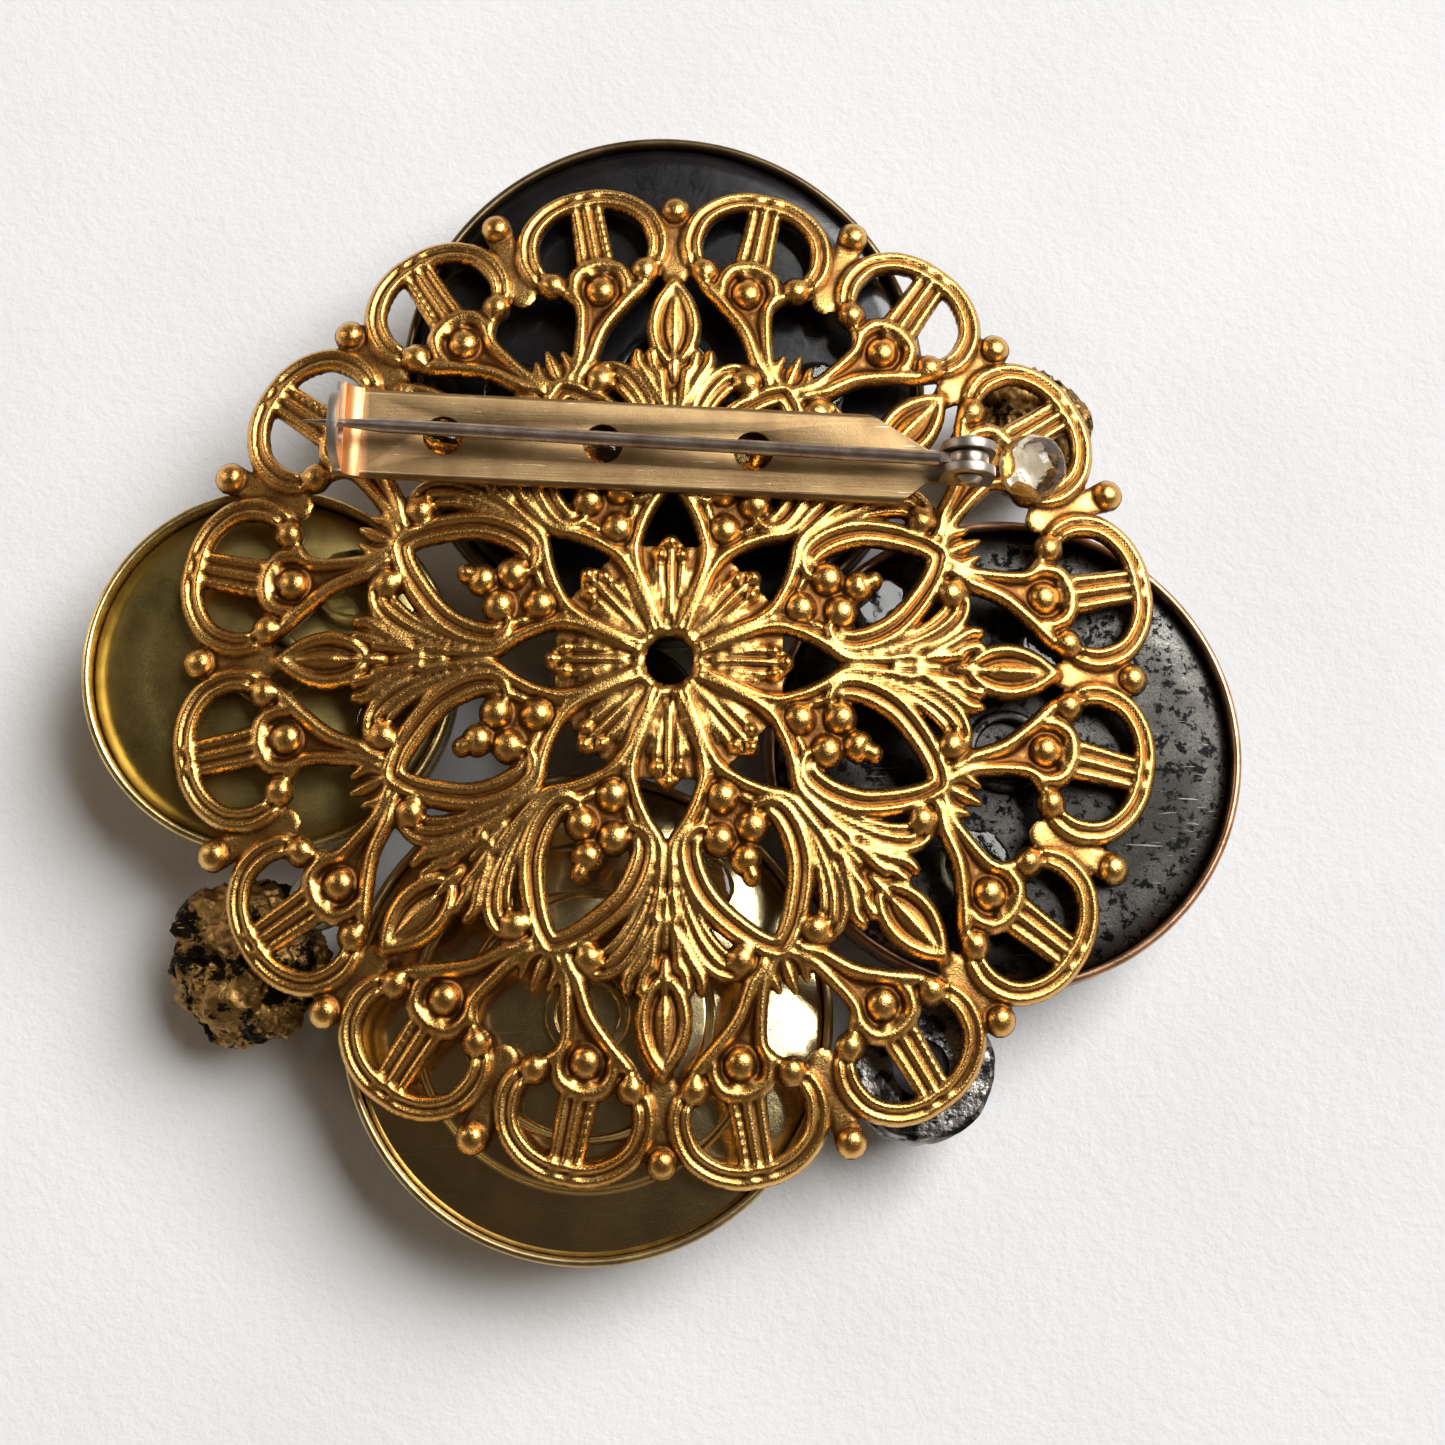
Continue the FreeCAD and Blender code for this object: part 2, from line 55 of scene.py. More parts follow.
def makeCamera(s):
    elevation = math.radians(90 - s["tilt"])
    azimuth = math.radians(s["azimuth"])
    roll = math.radians(s["roll"])
    back = Vector((math.sin(azimuth) * math.cos(elevation),
                   -math.cos(azimuth) * math.cos(elevation), math.sin(elevation)))
    right = Vector((-math.sin(roll), math.cos(roll), 0)).cross(back).normalized()
    up = back.cross(right)
    spot = (Vector(s["target"]) + back * s["distance"]) * mm
    data = bpy.data.cameras.new("camera")
    data.lens = s["lens"]
    data.sensor_width = s["sensor"]
    data.clip_start = 0.005
    camera = bpy.data.objects.new("camera", data)
    bpy.context.scene.collection.objects.link(camera)
    camera.matrix_world = Matrix((
        (right.x, up.x, back.x, spot.x),
        (right.y, up.y, back.y, spot.y),
        (right.z, up.z, back.z, spot.z),
        (0, 0, 0, 1)))
    bpy.context.scene.camera = camera


makeCamera(cameraSettings)
print("camera placed")


# shader helpers

def addNode(tree, kind, sockets=None, **settings):
    made = tree.nodes.new(kind)
    for key, value in settings.items():
        setattr(made, key, value)
    for key, value in (sockets or {}).items():
        made.inputs[key].default_value = value
    return made


def startMaterial(name):
    material = bpy.data.materials.new(name)
    material.use_nodes = True
    tree = material.node_tree
    return material, tree, tree.nodes["Principled BSDF"]


def millimetres(tree, stretch=(1, 1, 1), turn=0.0):
    place = addNode(tree, "ShaderNodeTexCoord")
    mapping = addNode(tree, "ShaderNodeMapping")
    mapping.inputs["Scale"].default_value = [1000 * k for k in stretch]
    mapping.inputs["Rotation"].default_value = (0, 0, math.radians(turn))
    tree.links.new(place.outputs["Object"], mapping.inputs["Vector"])
    return mapping.outputs["Vector"]


def noiseField(tree, vector, scale, detail=4.0, rough=0.55, twist=0.0):
    field = addNode(tree, "ShaderNodeTexNoise",
                    {"Scale": scale, "Detail": detail, "Roughness": rough, "Distortion": twist})
    tree.links.new(vector, field.inputs["Vector"])
    return field.outputs["Fac"]


def ramp(tree, source, low, high, a=(0, 0, 0, 1), b=(1, 1, 1, 1)):
    made = addNode(tree, "ShaderNodeValToRGB")
    first, last = made.color_ramp.elements
    first.position, first.color = low, a
    last.position, last.color = high, b
    tree.links.new(source, made.inputs["Fac"])
    return made.outputs["Color"]


def mixColour(tree, factor, a, b):
    made = addNode(tree, "ShaderNodeMix", data_type="RGBA", blend_type="MIX")
    for socket, value in ((made.inputs["Factor"], factor), (made.inputs[6], a), (made.inputs[7], b)):
        if isinstance(value, bpy.types.NodeSocket):
            tree.links.new(value, socket)
        else:
            socket.default_value = value
    return made.outputs[2]


def rangeOf(tree, source, low, high, fromLow=0.25, fromHigh=0.75):
    made = addNode(tree, "ShaderNodeMapRange", {"From Min": fromLow, "From Max": fromHigh,
                                                "To Min": low, "To Max": high})
    tree.links.new(source, made.inputs["Value"])
    return made.outputs["Result"]


def bumpChain(tree, shader, fields):
    last = None
    for source, depth in fields:
        made = addNode(tree, "ShaderNodeBump", {"Strength": 1.0, "Distance": depth * mm})
        tree.links.new(source, made.inputs["Height"])
        if last:
            tree.links.new(last, made.inputs["Normal"])
        last = made.outputs["Normal"]
    tree.links.new(last, shader.inputs["Normal"])


def rgb(colour, k=1.0):
    return (colour[0] * k, colour[1] * k, colour[2] * k, 1.0)


# a worn metal finish: each piece gives its own colours, and what else differs from these
wornMetal = {
    "patch": 0.35, "patchEdge": (0.38, 0.64), "dent": 0.03,
    "grain": 9.0, "grainDepth": 0.006,
    "stretch": (0.15, 2.2, 1), "turn": 20, "lineScale": 3.0, "lineDepth": 0.004,
    "spotScale": 3.2, "spotFrom": 0.62, "spotEdge": 0.05,
    "scratchFrom": 0.66, "scratchEdge": 0.03, "scratchShine": 1.1,
    "mottled": False, "mottleEdge": (0.3, 0.75), "mottleShade": 0.75,
    "ends": (),  # inner place, outer place along X and the colour beyond them, which is worn plating at an end and a painted highlight on a bend
    "metallic": 1.0, "coat": 0.0, "coatRough": 0.12,
}


def metalFinish(name, given):
    s = {**wornMetal, "spot": given["dark"], "scratch": given["light"], **given}
    material, tree, shader = startMaterial(name)
    plain = millimetres(tree)
    streaky = millimetres(tree, s["stretch"], s["turn"])
    patches = noiseField(tree, plain, s["patch"], 5)
    grain = noiseField(tree, plain, s["grain"], 6, 0.65)
    lines = noiseField(tree, streaky, s["lineScale"], 3, 0.6, 0.2)
    colour = mixColour(tree, ramp(tree, patches, *s["patchEdge"]), rgb(s["light"]), rgb(s["dark"]))
    if s["mottled"]:
        mottle = ramp(tree, grain, *s["mottleEdge"])
        colour = mixColour(tree, mottle, colour, rgb(s["dark"], s["mottleShade"]))
    spots = noiseField(tree, plain, s["spotScale"], 7, 0.7)
    spots = ramp(tree, spots, s["spotFrom"], s["spotFrom"] + s["spotEdge"])
    colour = mixColour(tree, spots, colour, rgb(s["spot"]))
    scratches = ramp(tree, lines, s["scratchFrom"], s["scratchFrom"] + s["scratchEdge"])
    colour = mixColour(tree, scratches, colour, rgb(s["scratch"], s["scratchShine"]))
    # beyond each place along X the colour changes: worn plating at an end, a painted highlight on a bend
    for inner, outer, tint in s["ends"]:
        split = addNode(tree, "ShaderNodeSeparateXYZ")
        tree.links.new(plain, split.inputs["Vector"])
        beyond = rangeOf(tree, split.outputs["X"], 0.0, 1.0, inner, outer)
        colour = mixColour(tree, beyond, colour, rgb(tint))
    tree.links.new(colour, shader.inputs["Base Color"])
    roughness = rangeOf(tree, mixColour(tree, spots, grain, rgb((1, 1, 1))), *s["rough"])
    tree.links.new(roughness, shader.inputs["Roughness"])
    shader.inputs["Metallic"].default_value = s["metallic"]
    shader.inputs["Coat Weight"].default_value = s["coat"]
    shader.inputs["Coat Roughness"].default_value = s["coatRough"]
    bumpChain(tree, shader, [(patches, s["dent"]), (grain, s["grainDepth"]), (lines, s["lineDepth"])])
    return material


# mesh helpers

def meshPiece(name, corners, faces, material, smooth=True):
    # a piece of the brooch's own body, in place of the node of the same name
    data = bpy.data.meshes.new(name)
    data.from_pydata([[v * mm for v in c] for c in corners], [], faces)
    return finishPiece(name, data, material, "brooch", (name,), smooth)


def finishPiece(name, data, material, body, replaces, smooth=True):
    data.validate()
    data.materials.clear()
    data.materials.append(material)
    data.polygons.foreach_set("use_smooth", [smooth] * len(data.polygons))
    piece = bpy.data.objects.new(name, data)
    bpy.context.scene.collection.objects.link(piece)
    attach(piece, body)
    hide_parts(*replaces)
    return piece


def applyModifiers(piece):
    bpy.context.view_layer.update()
    evaluated = piece.evaluated_get(bpy.context.evaluated_depsgraph_get())
    data = bpy.data.meshes.new_from_object(evaluated)
    piece.modifiers.clear()
    piece.data = data
    return data


def smoothAngles(data, degrees):
    mesh = bmesh.new()
    mesh.from_mesh(data)
    limit = math.radians(degrees)
    for edge in mesh.edges:
        edge.smooth = len(edge.link_faces) == 2 and edge.calc_face_angle(0) < limit
    for face in mesh.faces:
        face.smooth = True
    mesh.to_mesh(data)
    mesh.free()


def latheMesh(profile, centre, steps, wobble):
    # profile is a closed loop of (radius, z); a radius of 0 makes a pole
    corners, rings = [], []
    for radius, z in profile:
        if radius < 1e-6:
            rings.append([len(corners)] * steps)
            corners.append((centre[0], centre[1], z))
            continue
        ring = []
        for k in range(steps):
            angle = 2 * math.pi * k / steps
            r, h = radius, z
            if wobble:
                r, h = wobble(radius, angle, z)
            ring.append(len(corners))
            corners.append((centre[0] + r * math.cos(angle), centre[1] + r * math.sin(angle), h))
        rings.append(ring)
    faces = []
    for a, b in zip(rings, rings[1:] + rings[:1]):
        for k in range(steps):
            n = (k + 1) % steps
            face = list(dict.fromkeys((a[k], a[n], b[n], b[k])))  # two corners are one at a pole
            if len(face) > 2:
                faces.append(face)
    return corners, faces


def outward(data):
    mesh = bmesh.new()
    mesh.from_mesh(data)
    bmesh.ops.recalc_face_normals(mesh, faces=mesh.faces)
    mesh.to_mesh(data)
    mesh.free()


def lathePiece(name, profile, centre, material, degrees, steps=160, wobble=None):
    corners, faces = latheMesh(profile, centre, steps, wobble)
    piece = meshPiece(name, corners, faces, material)
    outward(piece.data)
    smoothAngles(piece.data, degrees)


def arcPoints(centre, radius, fromDegrees, toDegrees, count):
    found = []
    for k in range(count):
        angle = math.radians(fromDegrees + (toDegrees - fromDegrees) * k / (count - 1))
        found.append((centre[0] + radius * math.cos(angle), centre[1] + radius * math.sin(angle)))
    return found


# the stamping's relief: strokes with a cross-section of ridges, drawn in one wedge and repeated

stamping = {
    "spacing": 0.15,
    "oval": (0.98, 1.02),
    "domeDrop": 3.0,
    "rimRadius": 27.0,
    "sheet": 0.36,
    "deepest": -0.44,  # the underside goes no lower than this from the dome
    "holeRadius": 1.34,
    "reach": 29.2,
    "soften": 1,  # passes of blurring over the relief
    "softenUnder": 4,  # over its underside
    "softenWide": 14,  # and over the level that hollows are measured from
    "hollow": 0.22,  # a hollow this deep is full of grime
    "grime": 0.35,  # and a level place has this much of it
    "outlineReach": 0.6,
    "outlineSnap": 0.012,  # no corner of the grid is nearer the outline than this
}
reliefDetail = {
    "flatEdge": 0.15,
    "tongue": {"beyond": -0.34, "pitch": 6.4, "depth": 0.28},
    "bead": {"round": 0.8, "foot": 0.05, "ditch": 0.06, "ditchWidth": 0.14, "ditchDepth": 0.28,
             "above": 0.1, "floor": 0.08},
    "collar": {"radius": 1.72, "half": 0.34, "height": 0.5},
    "web": {"radius": 5.4, "heartRadius": 6.6, "heartSide": 1.6, "height": 0.14, "edge": 0.3},
}
wedge = 45  # degrees, mirrored about its middle

# across -1..1: centre, half width and height of each ridge; then the height between them
ridges = {
    "round": (((0.0, 1.0, 1.0),), 0.0),
    "outer": (((-0.5, 0.48, 0.8), (0.5, 0.48, 1.0)), 0.3),
    "triple": (((-0.68, 0.31, 0.9), (0.0, 0.32, 1.0), (0.68, 0.31, 0.9)), 0.34),
    "fluted": (((-0.72, 0.28, 0.85), (0.0, 0.24, 1.0), (0.72, 0.28, 0.85)), 0.36),
    "keel": (((0.0, 0.26, 1.0), (0.0, 1.0, 0.7)), 0.2),
    "flat": (((0.0, 1.0, 1.0),), 0.0),
}

# axis, cross-section, height, then points as (outwards, sideways, half width)
strokes = [
    ("palmette", "fluted", 0.62, [(1.6, 0, .22), (3.2, 0, .5), (4.8, 0, .86), (5.8, 0, .92), (6.5, 0, .55)]),
    ("palmette", "round", 0.66, [(2.4, 0, .1), (4.2, 0, .2), (5.6, 0, .22), (6.6, 0, .2)]),
    ("heart", "round", 0.62, [(1.7, .1, .14), (3.0, .28, .2), (4.4, .4, .2), (5.6, .28, .18), (6.5, 0, .14)]),
    ("heart", "round", 0.55, [(3.2, 0, .08), (4.4, 0, .13), (5.6, 0, .1)]),
    ("loop", "round", 0.50, [(1.7, .1, .14), (3.0, .1, .2), (4.2, .05, .2), (5.2, .1, .1)]),
    ("palmette", "round", 0.74, [(1.75, .47, .2), (3.5, 1.28, .3), (5.66, 2.0, .36), (7.0, 1.9, .4),
                                 (8.58, 1.25, .4), (9.9, .4, .38), (11.2, .3, .34), (12.8, .42, .3),
                                 (14.2, .62, .24)]),
    ("palmette", "round", 0.56, [(6.3, 2.45, .16), (7.4, 2.42, .2), (8.8, 1.95, .2), (9.8, 1.35, .16)]),
    ("heart", "flat", 0.16, [(5.6, 0, .5), (7.2, 0, 1.0), (8.6, 0, 1.7), (9.4, 0, 1.9)]),
    ("heart", "flat", 0.16, [(8.3, 1.2, .9), (9.4, 2.6, .8), (10.2, 3.6, .6)]),
    ("heart", "outer", 0.74, [(10.0, 1.2, .5), (9.35, 1.85, .6), (9.75, 2.65, .74), (10.97, 3.0, .82),
                              (12.4, 2.92, .82), (13.6, 2.52, .8), (15.0, 1.72, .78), (16.0, .95, .74),
                              (16.75, 0, .62)]),
    ("palmette", "triple", 0.72, [(11.0, .5, .3), (12.4, .85, .46), (13.9, 1.4, .62), (15.3, 2.15, .8),
                                  (16.3, 3.1, .88), (16.5, 4.1, .74)]),
    ("palmette", "round", 0.70, [(12.6, 0, .12), (13.8, 0, .3), (15.4, 0, .2)]),
    ("palmette", "round", 0.74, [(14.0, .3, .2), (15.4, .62, .36), (16.7, .72, .26)]),
    ("palmette", "round", 0.74, [(14.6, .7, .24), (16.0, 1.35, .4), (17.1, 2.05, .42), (17.8, 2.1, .3)]),
    ("palmette", "round", 0.70, [(16.0, .7, .24), (17.0, 1.15, .36), (17.8, 1.35, .3)]),
    ("palmette", "keel", 0.80, [(16.2, 0, .16), (17.0, 0, .48), (17.9, 0, .22)]),
    ("palmette", "flat", 0.16, [(12.0, 0, .5), (14.5, 0, 1.1), (16.5, 0, 1.7), (18.0, 0, 1.2)]),
    ("palmette", "round", 0.72, [(17.3, .45, .26), (18.4, 1.06, .4), (19.7, 1.18, .42), (21.0, .78, .4),
                                 (22.2, 0, .34)]),
    ("palmette", "flat", 0.16, [(17.6, 0, .6), (18.8, 0, 1.2), (20.0, 0, 1.25), (21.2, 0, .9),
                                (22.2, 0, .4)]),
    ("palmette", "keel", 0.74, [(18.0, 0, .12), (18.9, 0, .6), (20.0, 0, .74), (21.2, 0, .44),
                                (21.9, 0, .12)]),
    ("palmette", "flat", 0.16, [(21.8, 0, .4), (23.4, 0, .9), (25.0, 0, .7), (26.4, 0, .85)]),
    ("heart", "flat", 0.16, [(23.2, 0, .8), (24.6, 0, .6), (26.4, 0, .7), (27.4, 0, .85)]),
    ("heart", "keel", 0.66, [(17.0, 0, .34), (18.0, 0, .48), (19.3, 0, .12)]),
    ("heart", "round", 0.60, [(17.0, .55, .34), (17.9, .92, .36), (18.8, .85, .18)]),
    ("loop", "round", 0.76, [(16.9, 2.2, .34), (17.8, 1.45, .46), (19.55, .4, .46), (20.85, -1.0, .46),
                             (21.7, -2.1, .48), (22.4, -2.85, .44)]),
    ("loop", "round", 0.68, [(16.9, 2.9, .34), (17.8, 2.15, .4), (19.6, 1.6, .38), (21.2, 1.35, .38),
                             (22.0, 1.75, .4), (22.6, 2.5, .38)]),
    ("loop", "flat", 0.16, [(17.4, 1.9, .5), (19.6, 1.0, .7), (21.2, .2, 1.2), (22.2, 0, 1.6)]),
    ("loop", "round", 0.70, [(21.5, 1.4, .34), (22.4, 1.6, .46), (23.3, 1.15, .48), (23.65, 0, .48),
                             (23.3, -1.15, .48), (22.4, -1.6, .46), (21.7, -1.45, .34)]),
    ("loop", "outer", 0.74, [(22.9, -2.8, .45), (23.5, -3.5, .6), (24.7, -3.88, .68), (26.2, -3.56, .68),
                             (27.3, -2.5, .68), (27.85, -1.2, .68), (27.95, 0, .68), (27.85, 1.2, .68),
                             (27.3, 2.5, .68), (26.2, 3.56, .68), (24.7, 3.88, .68), (23.5, 3.5, .6),
                             (22.9, 2.8, .45)]),
    ("loop", "triple", 0.62, [(23.7, 0, 1.15), (25.5, 0, 1.05), (27.6, 0, 1.0)]),
]

# axis, outwards, sideways, radius, height
beads = [
    ("palmette", 5.9, .62, .40, .66), ("palmette", 6.65, 0, .42, .68),
    ("heart", 8.0, 0, .90, .92), ("heart", 10.1, .99, .92, .94), ("heart", 11.6, 0, .86, .88),
    ("heart", 12.55, 0, .52, .7),
    ("palmette", 16.1, 4.25, .86, .94), ("loop", 22.0, 0, .92, .98),
    ("loop", 22.9, -2.75, .82, .92), ("loop", 22.9, 2.75, .82, .92),
    ("palmette", 26.9, 0, .84, .84), ("heart", 27.75, 0, .84, .84),
]
axisTurn = {"palmette": 0.0, "loop": 11.25, "heart": 22.5}


def smoothLine(points, steps=7):
    given = np.array(points, float)
    padded = np.vstack([2 * given[0] - given[1], given, 2 * given[-1] - given[-2]])
    t = np.linspace(0, 1, steps, endpoint=False)[:, None]
    found = []
    for k in range(1, len(padded) - 2):
        a, b, c, d = padded[k - 1:k + 3]
        found.append(0.5 * (2 * b + (c - a) * t + (2 * a - 5 * b + 4 * c - d) * t ** 2
                            + (3 * b - a - 3 * c + d) * t ** 3))
    return np.vstack(found + [given[-1:]])


def strokeFields(x, y, points):
    # distance inside the stroke's edge, and place across it from -1 to 1
    line = smoothLine(points) if len(points) > 2 else np.array(points, float)
    best = np.full(x.shape, -1e9)
    across = np.zeros(x.shape)
    travel = 0.0
    along = np.zeros(x.shape)
    for (ax, ay, aw), (bx, by, bw) in zip(line[:-1], line[1:]):
        dx, dy = bx - ax, by - ay
        length = math.hypot(dx, dy) or 1e-9
        t = np.clip(((x - ax) * dx + (y - ay) * dy) / length ** 2, 0, 1)
        px, py = x - ax - t * dx, y - ay - t * dy
        width = np.maximum(aw + (bw - aw) * t, 0.02)
        distance = np.hypot(px, py)
        inside = width - distance
        side = np.where(dx * py - dy * px >= 0, 1.0, -1.0)
        better = inside > best
        best = np.where(better, inside, best)
        across = np.where(better, side * distance / width, across)
        along = np.where(better, travel + t * length, along)
        travel += length
    return best, across, along


def crossSection(kind, across):
    parts, floor = ridges[kind]
    edge = np.sqrt(np.clip(1 - across ** 2, 0, 1))
    found = floor * edge
    for centre, half, height in parts:
        found = np.maximum(found, height * np.sqrt(np.clip(1 - ((across - centre) / half) ** 2, 0, 1)))
    return np.minimum(found, 1.0)


def axisFrames(radius, angle):
    # every point folded into one wedge, then seen along each of its three axes
    step = math.radians(wedge)
    folded = np.abs((angle + step / 2) % step - step / 2)
    found = {}
    for name, turn in axisTurn.items():
        away = folded - math.radians(turn)
        if name == "heart":
            away = -away
        found[name] = (radius * np.cos(away), radius * np.sin(away))
    return found


def reliefFields(x, y, s):
    tongue, bead, collar, web = s["tongue"], s["bead"], s["collar"], s["web"]
    radius, angle = np.hypot(x, y), np.arctan2(y, x)
    frames = axisFrames(radius, angle)
    height = np.full(x.shape, -1.0)
    mask = np.full(x.shape, -1e3)
    for axis, kind, top, points in strokes:
        u, v = frames[axis]
        spread = np.array(points)
        reach = spread[:, 2].max() + 0.6
        near = ((u > spread[:, 0].min() - reach) & (u < spread[:, 0].max() + reach)
                & (v > spread[:, 1].min() - reach) & (v < spread[:, 1].max() + reach))
        inside, across, along = strokeFields(u[near], v[near], points)
        shape = crossSection(kind, across)
        if kind == "flat":
            shape = np.clip(inside / s["flatEdge"], 0, 1)
        if axis == "loop" and kind == "triple":  # one ridge of the tongue is a row of beads
            swell = 1 - tongue["depth"] * (1 - np.abs(np.cos(along * tongue["pitch"])))
            shape = np.where(across < tongue["beyond"], shape * swell, shape)
        height[near] = np.maximum(height[near], np.where(inside > 0, top * shape, -1.0))
        mask[near] = np.maximum(mask[near], inside)
    for axis, outwards, sideways, size, top in beads:
        u, v = frames[axis]
        distance = np.hypot(u - outwards, v - sideways)
        inside = size - distance
        cap = np.sqrt(np.clip(1 - (distance / size) ** 2, 0, 1))
        height = np.maximum(height, np.where(inside > 0, top * cap ** bead["round"], -1.0))
        ditch = np.clip(1 - np.abs(distance - size - bead["ditch"]) / bead["ditchWidth"], 0, 1)
        dug = np.maximum(height - bead["ditchDepth"] * ditch, bead["floor"])
        height = np.where(height > bead["above"], dug, height)
        mask = np.maximum(mask, inside + bead["foot"])
    ring = collar["half"] - np.abs(radius - collar["radius"])
    swell = collar["height"] * np.sqrt(np.clip(ring / collar["half"], 0, 1))
    height = np.maximum(height, np.where(ring > 0, swell, -1.0))
    nearHeart = (radius < web["heartRadius"]) & (frames["heart"][1] < web["heartSide"])
    filled = (radius < web["radius"]) | nearHeart
    height = np.where(filled, np.maximum(height, web["height"]), height)
    edge = np.minimum(web["edge"], web["heartRadius"] - radius)
    mask = np.where(filled, np.maximum(mask, edge), mask)
    mask = np.minimum(mask, radius - stamping["holeRadius"])
    return np.maximum(height, 0.0), mask


def blurred(field, passes):
    for _ in range(passes):
        padded = np.pad(field, 1, mode="edge")
        field = (padded[:-2, 1:-1] + padded[2:, 1:-1] + padded[1:-1, :-2] + padded[1:-1, 2:]
                 + 2 * field) / 6
    return field


def clippedGrid(mask):
    # whole cells inside the mask stay squares; cells on its edge are cut along it
    rows, columns = mask.shape
    index = np.arange(rows * columns).reshape(rows, columns)
    a, b = index[:-1, :-1].ravel(), index[:-1, 1:].ravel()
    c, d = index[1:, 1:].ravel(), index[1:, :-1].ravel()
    flat = mask.ravel()
    count = (flat[a] > 0).astype(int) + (flat[b] > 0) + (flat[c] > 0) + (flat[d] > 0)
    whole = count == 4
    faces = np.stack([a[whole], b[whole], c[whole], d[whole]], 1).tolist()
    mixed = (count > 0) & (count < 4)
    cuts, edges, walls = {}, [], []

    def cut(inner, outer):
        key = (min(inner, outer), max(inner, outer))
        if key not in cuts:
            cuts[key] = len(cuts)
            edges.append(key)
        return -1 - cuts[key]

    for p, q, r, s in zip(a[mixed], b[mixed], c[mixed], d[mixed]):
        for triangle in ((p, q, r), (p, r, s)):
            inside = [flat[k] > 0 for k in triangle]
            if all(inside):
                faces.append(list(triangle))
            elif sum(inside) == 1:
                k = inside.index(True)
                one, two, three = triangle[k], triangle[(k + 1) % 3], triangle[(k + 2) % 3]
                first, second = cut(one, two), cut(one, three)
                faces.append([one, first, second])
                walls.append((first, second))
            elif sum(inside) == 2:
                k = inside.index(False)
                out, two, three = triangle[k], triangle[(k + 1) % 3], triangle[(k + 2) % 3]
                first, second = cut(two, out), cut(three, out)
                faces.append([first, two, three, second])
                walls.append((second, first))
    return faces, edges, walls


def makeStamping(s, material):
    half = s["reach"]
    count = int(2 * half / s["spacing"]) + 1
    line = np.linspace(-half, half, count)
    x, y = np.meshgrid(line, line)
    height, mask = reliefFields(x, y, reliefDetail)
    mask = blurred(mask.clip(-s["outlineReach"], s["outlineReach"]), 1)
    mask = np.where(np.abs(mask) < s["outlineSnap"], s["outlineSnap"], mask)
    height = blurred(height, s["soften"])
    wide = blurred(height, s["softenWide"])
    recess = np.clip((wide - height) / s["hollow"] + s["grime"], 0, 1)
    low = np.minimum(blurred(height, s["softenUnder"]), height) - s["sheet"]
    low = np.maximum(low, s["deepest"])
    faces, edges, walls = clippedGrid(mask)
    pairs = np.array(edges)
    flat = mask.ravel()
    share = flat[pairs[:, 0]] / (flat[pairs[:, 0]] - flat[pairs[:, 1]])

    def both(field):
        f = field.ravel()
        return np.concatenate([f, f[pairs[:, 0]] + share * (f[pairs[:, 1]] - f[pairs[:, 0]])])

    px, py, top, under, hollow = both(x), both(y), both(height), both(low), both(recess)
    dome = -s["domeDrop"] * (np.hypot(px, py) / s["rimRadius"]) ** 2
    grid = x.size
    loops = [[k if k >= 0 else grid - 1 - k for k in face] for face in faces]
    used = np.unique(np.array([k for face in loops for k in face]))
    renumber = np.full(len(px), -1)
    renumber[used] = np.arange(len(used))
    corners = np.stack([px[used] * s["oval"][0], py[used] * s["oval"][1], dome[used] + top[used]], 1)
    below = corners.copy()
    below[:, 2] = dome[used] + under[used]
    total = len(used)
    upper = [[int(renumber[k]) for k in face] for face in loops]
    lower = [[k + total for k in reversed(face)] for face in upper]
    sides = []
    for first, second in walls:
        p, q = renumber[grid - 1 - first], renumber[grid - 1 - second]
        sides.append([int(q), int(p), int(p) + total, int(q) + total])
    data = meshPiece("filigree_backing", np.vstack([corners, below]), upper + lower + sides, material).data
    attribute = data.attributes.new("recess", "FLOAT", "POINT")
    attribute.data.foreach_set("value", np.concatenate([hollow[used], hollow[used]]).astype(np.float32))
    print("stamping made:", len(data.polygons), "faces")


def giltFinish(s):
    material, tree, shader = startMaterial("antiqueGilt")
    plain = millimetres(tree)
    cavity = addNode(tree, "ShaderNodeAttribute", attribute_name="recess").outputs["Fac"]
    patches = noiseField(tree, plain, 0.25, 4)
    grain = noiseField(tree, plain, 7.0, 6, 0.6)
    colour = mixColour(tree, ramp(tree, patches, 0.35, 0.65), rgb(s["bright"]), rgb(s["warm"]))
    grime = addNode(tree, "ShaderNodeMath", operation="MULTIPLY_ADD")
    tree.links.new(grain, grime.inputs[0])
    grime.inputs[1].default_value = s["speckle"]
    tree.links.new(cavity, grime.inputs[2])
    stain = ramp(tree, grime.outputs[0], s["stainFrom"], s["stainTo"])
    colour = mixColour(tree, stain, colour, rgb(s["patina"]))
    tree.links.new(colour, shader.inputs["Base Color"])
    roughness = rangeOf(tree, mixColour(tree, stain, grain, rgb((1, 1, 1))), *s["rough"], 0.3, 1.0)
    tree.links.new(roughness, shader.inputs["Roughness"])
    shader.inputs["Metallic"].default_value = 1.0
    bumpChain(tree, shader, [(patches, s["dent"]), (grain, s["grainDepth"])])
    return material


gilt = {"bright": (0.82, 0.49, 0.15), "warm": (0.72, 0.38, 0.105), "patina": (0.15, 0.062, 0.017),
        "stainFrom": 0.55, "stainTo": 1.2, "speckle": 0.45, "rough": (0.2, 0.42), "dent": 0.05,
        "grainDepth": 0.03}
makeStamping(stamping, giltFinish(gilt))


# bar pin, rivet and pin wire: the CAD shapes with their edges broken

wornEdges = {"merge": 0.004, "flatten": 1.2, "segments": 2, "degrees": 30, "shadeSmooth": 32}


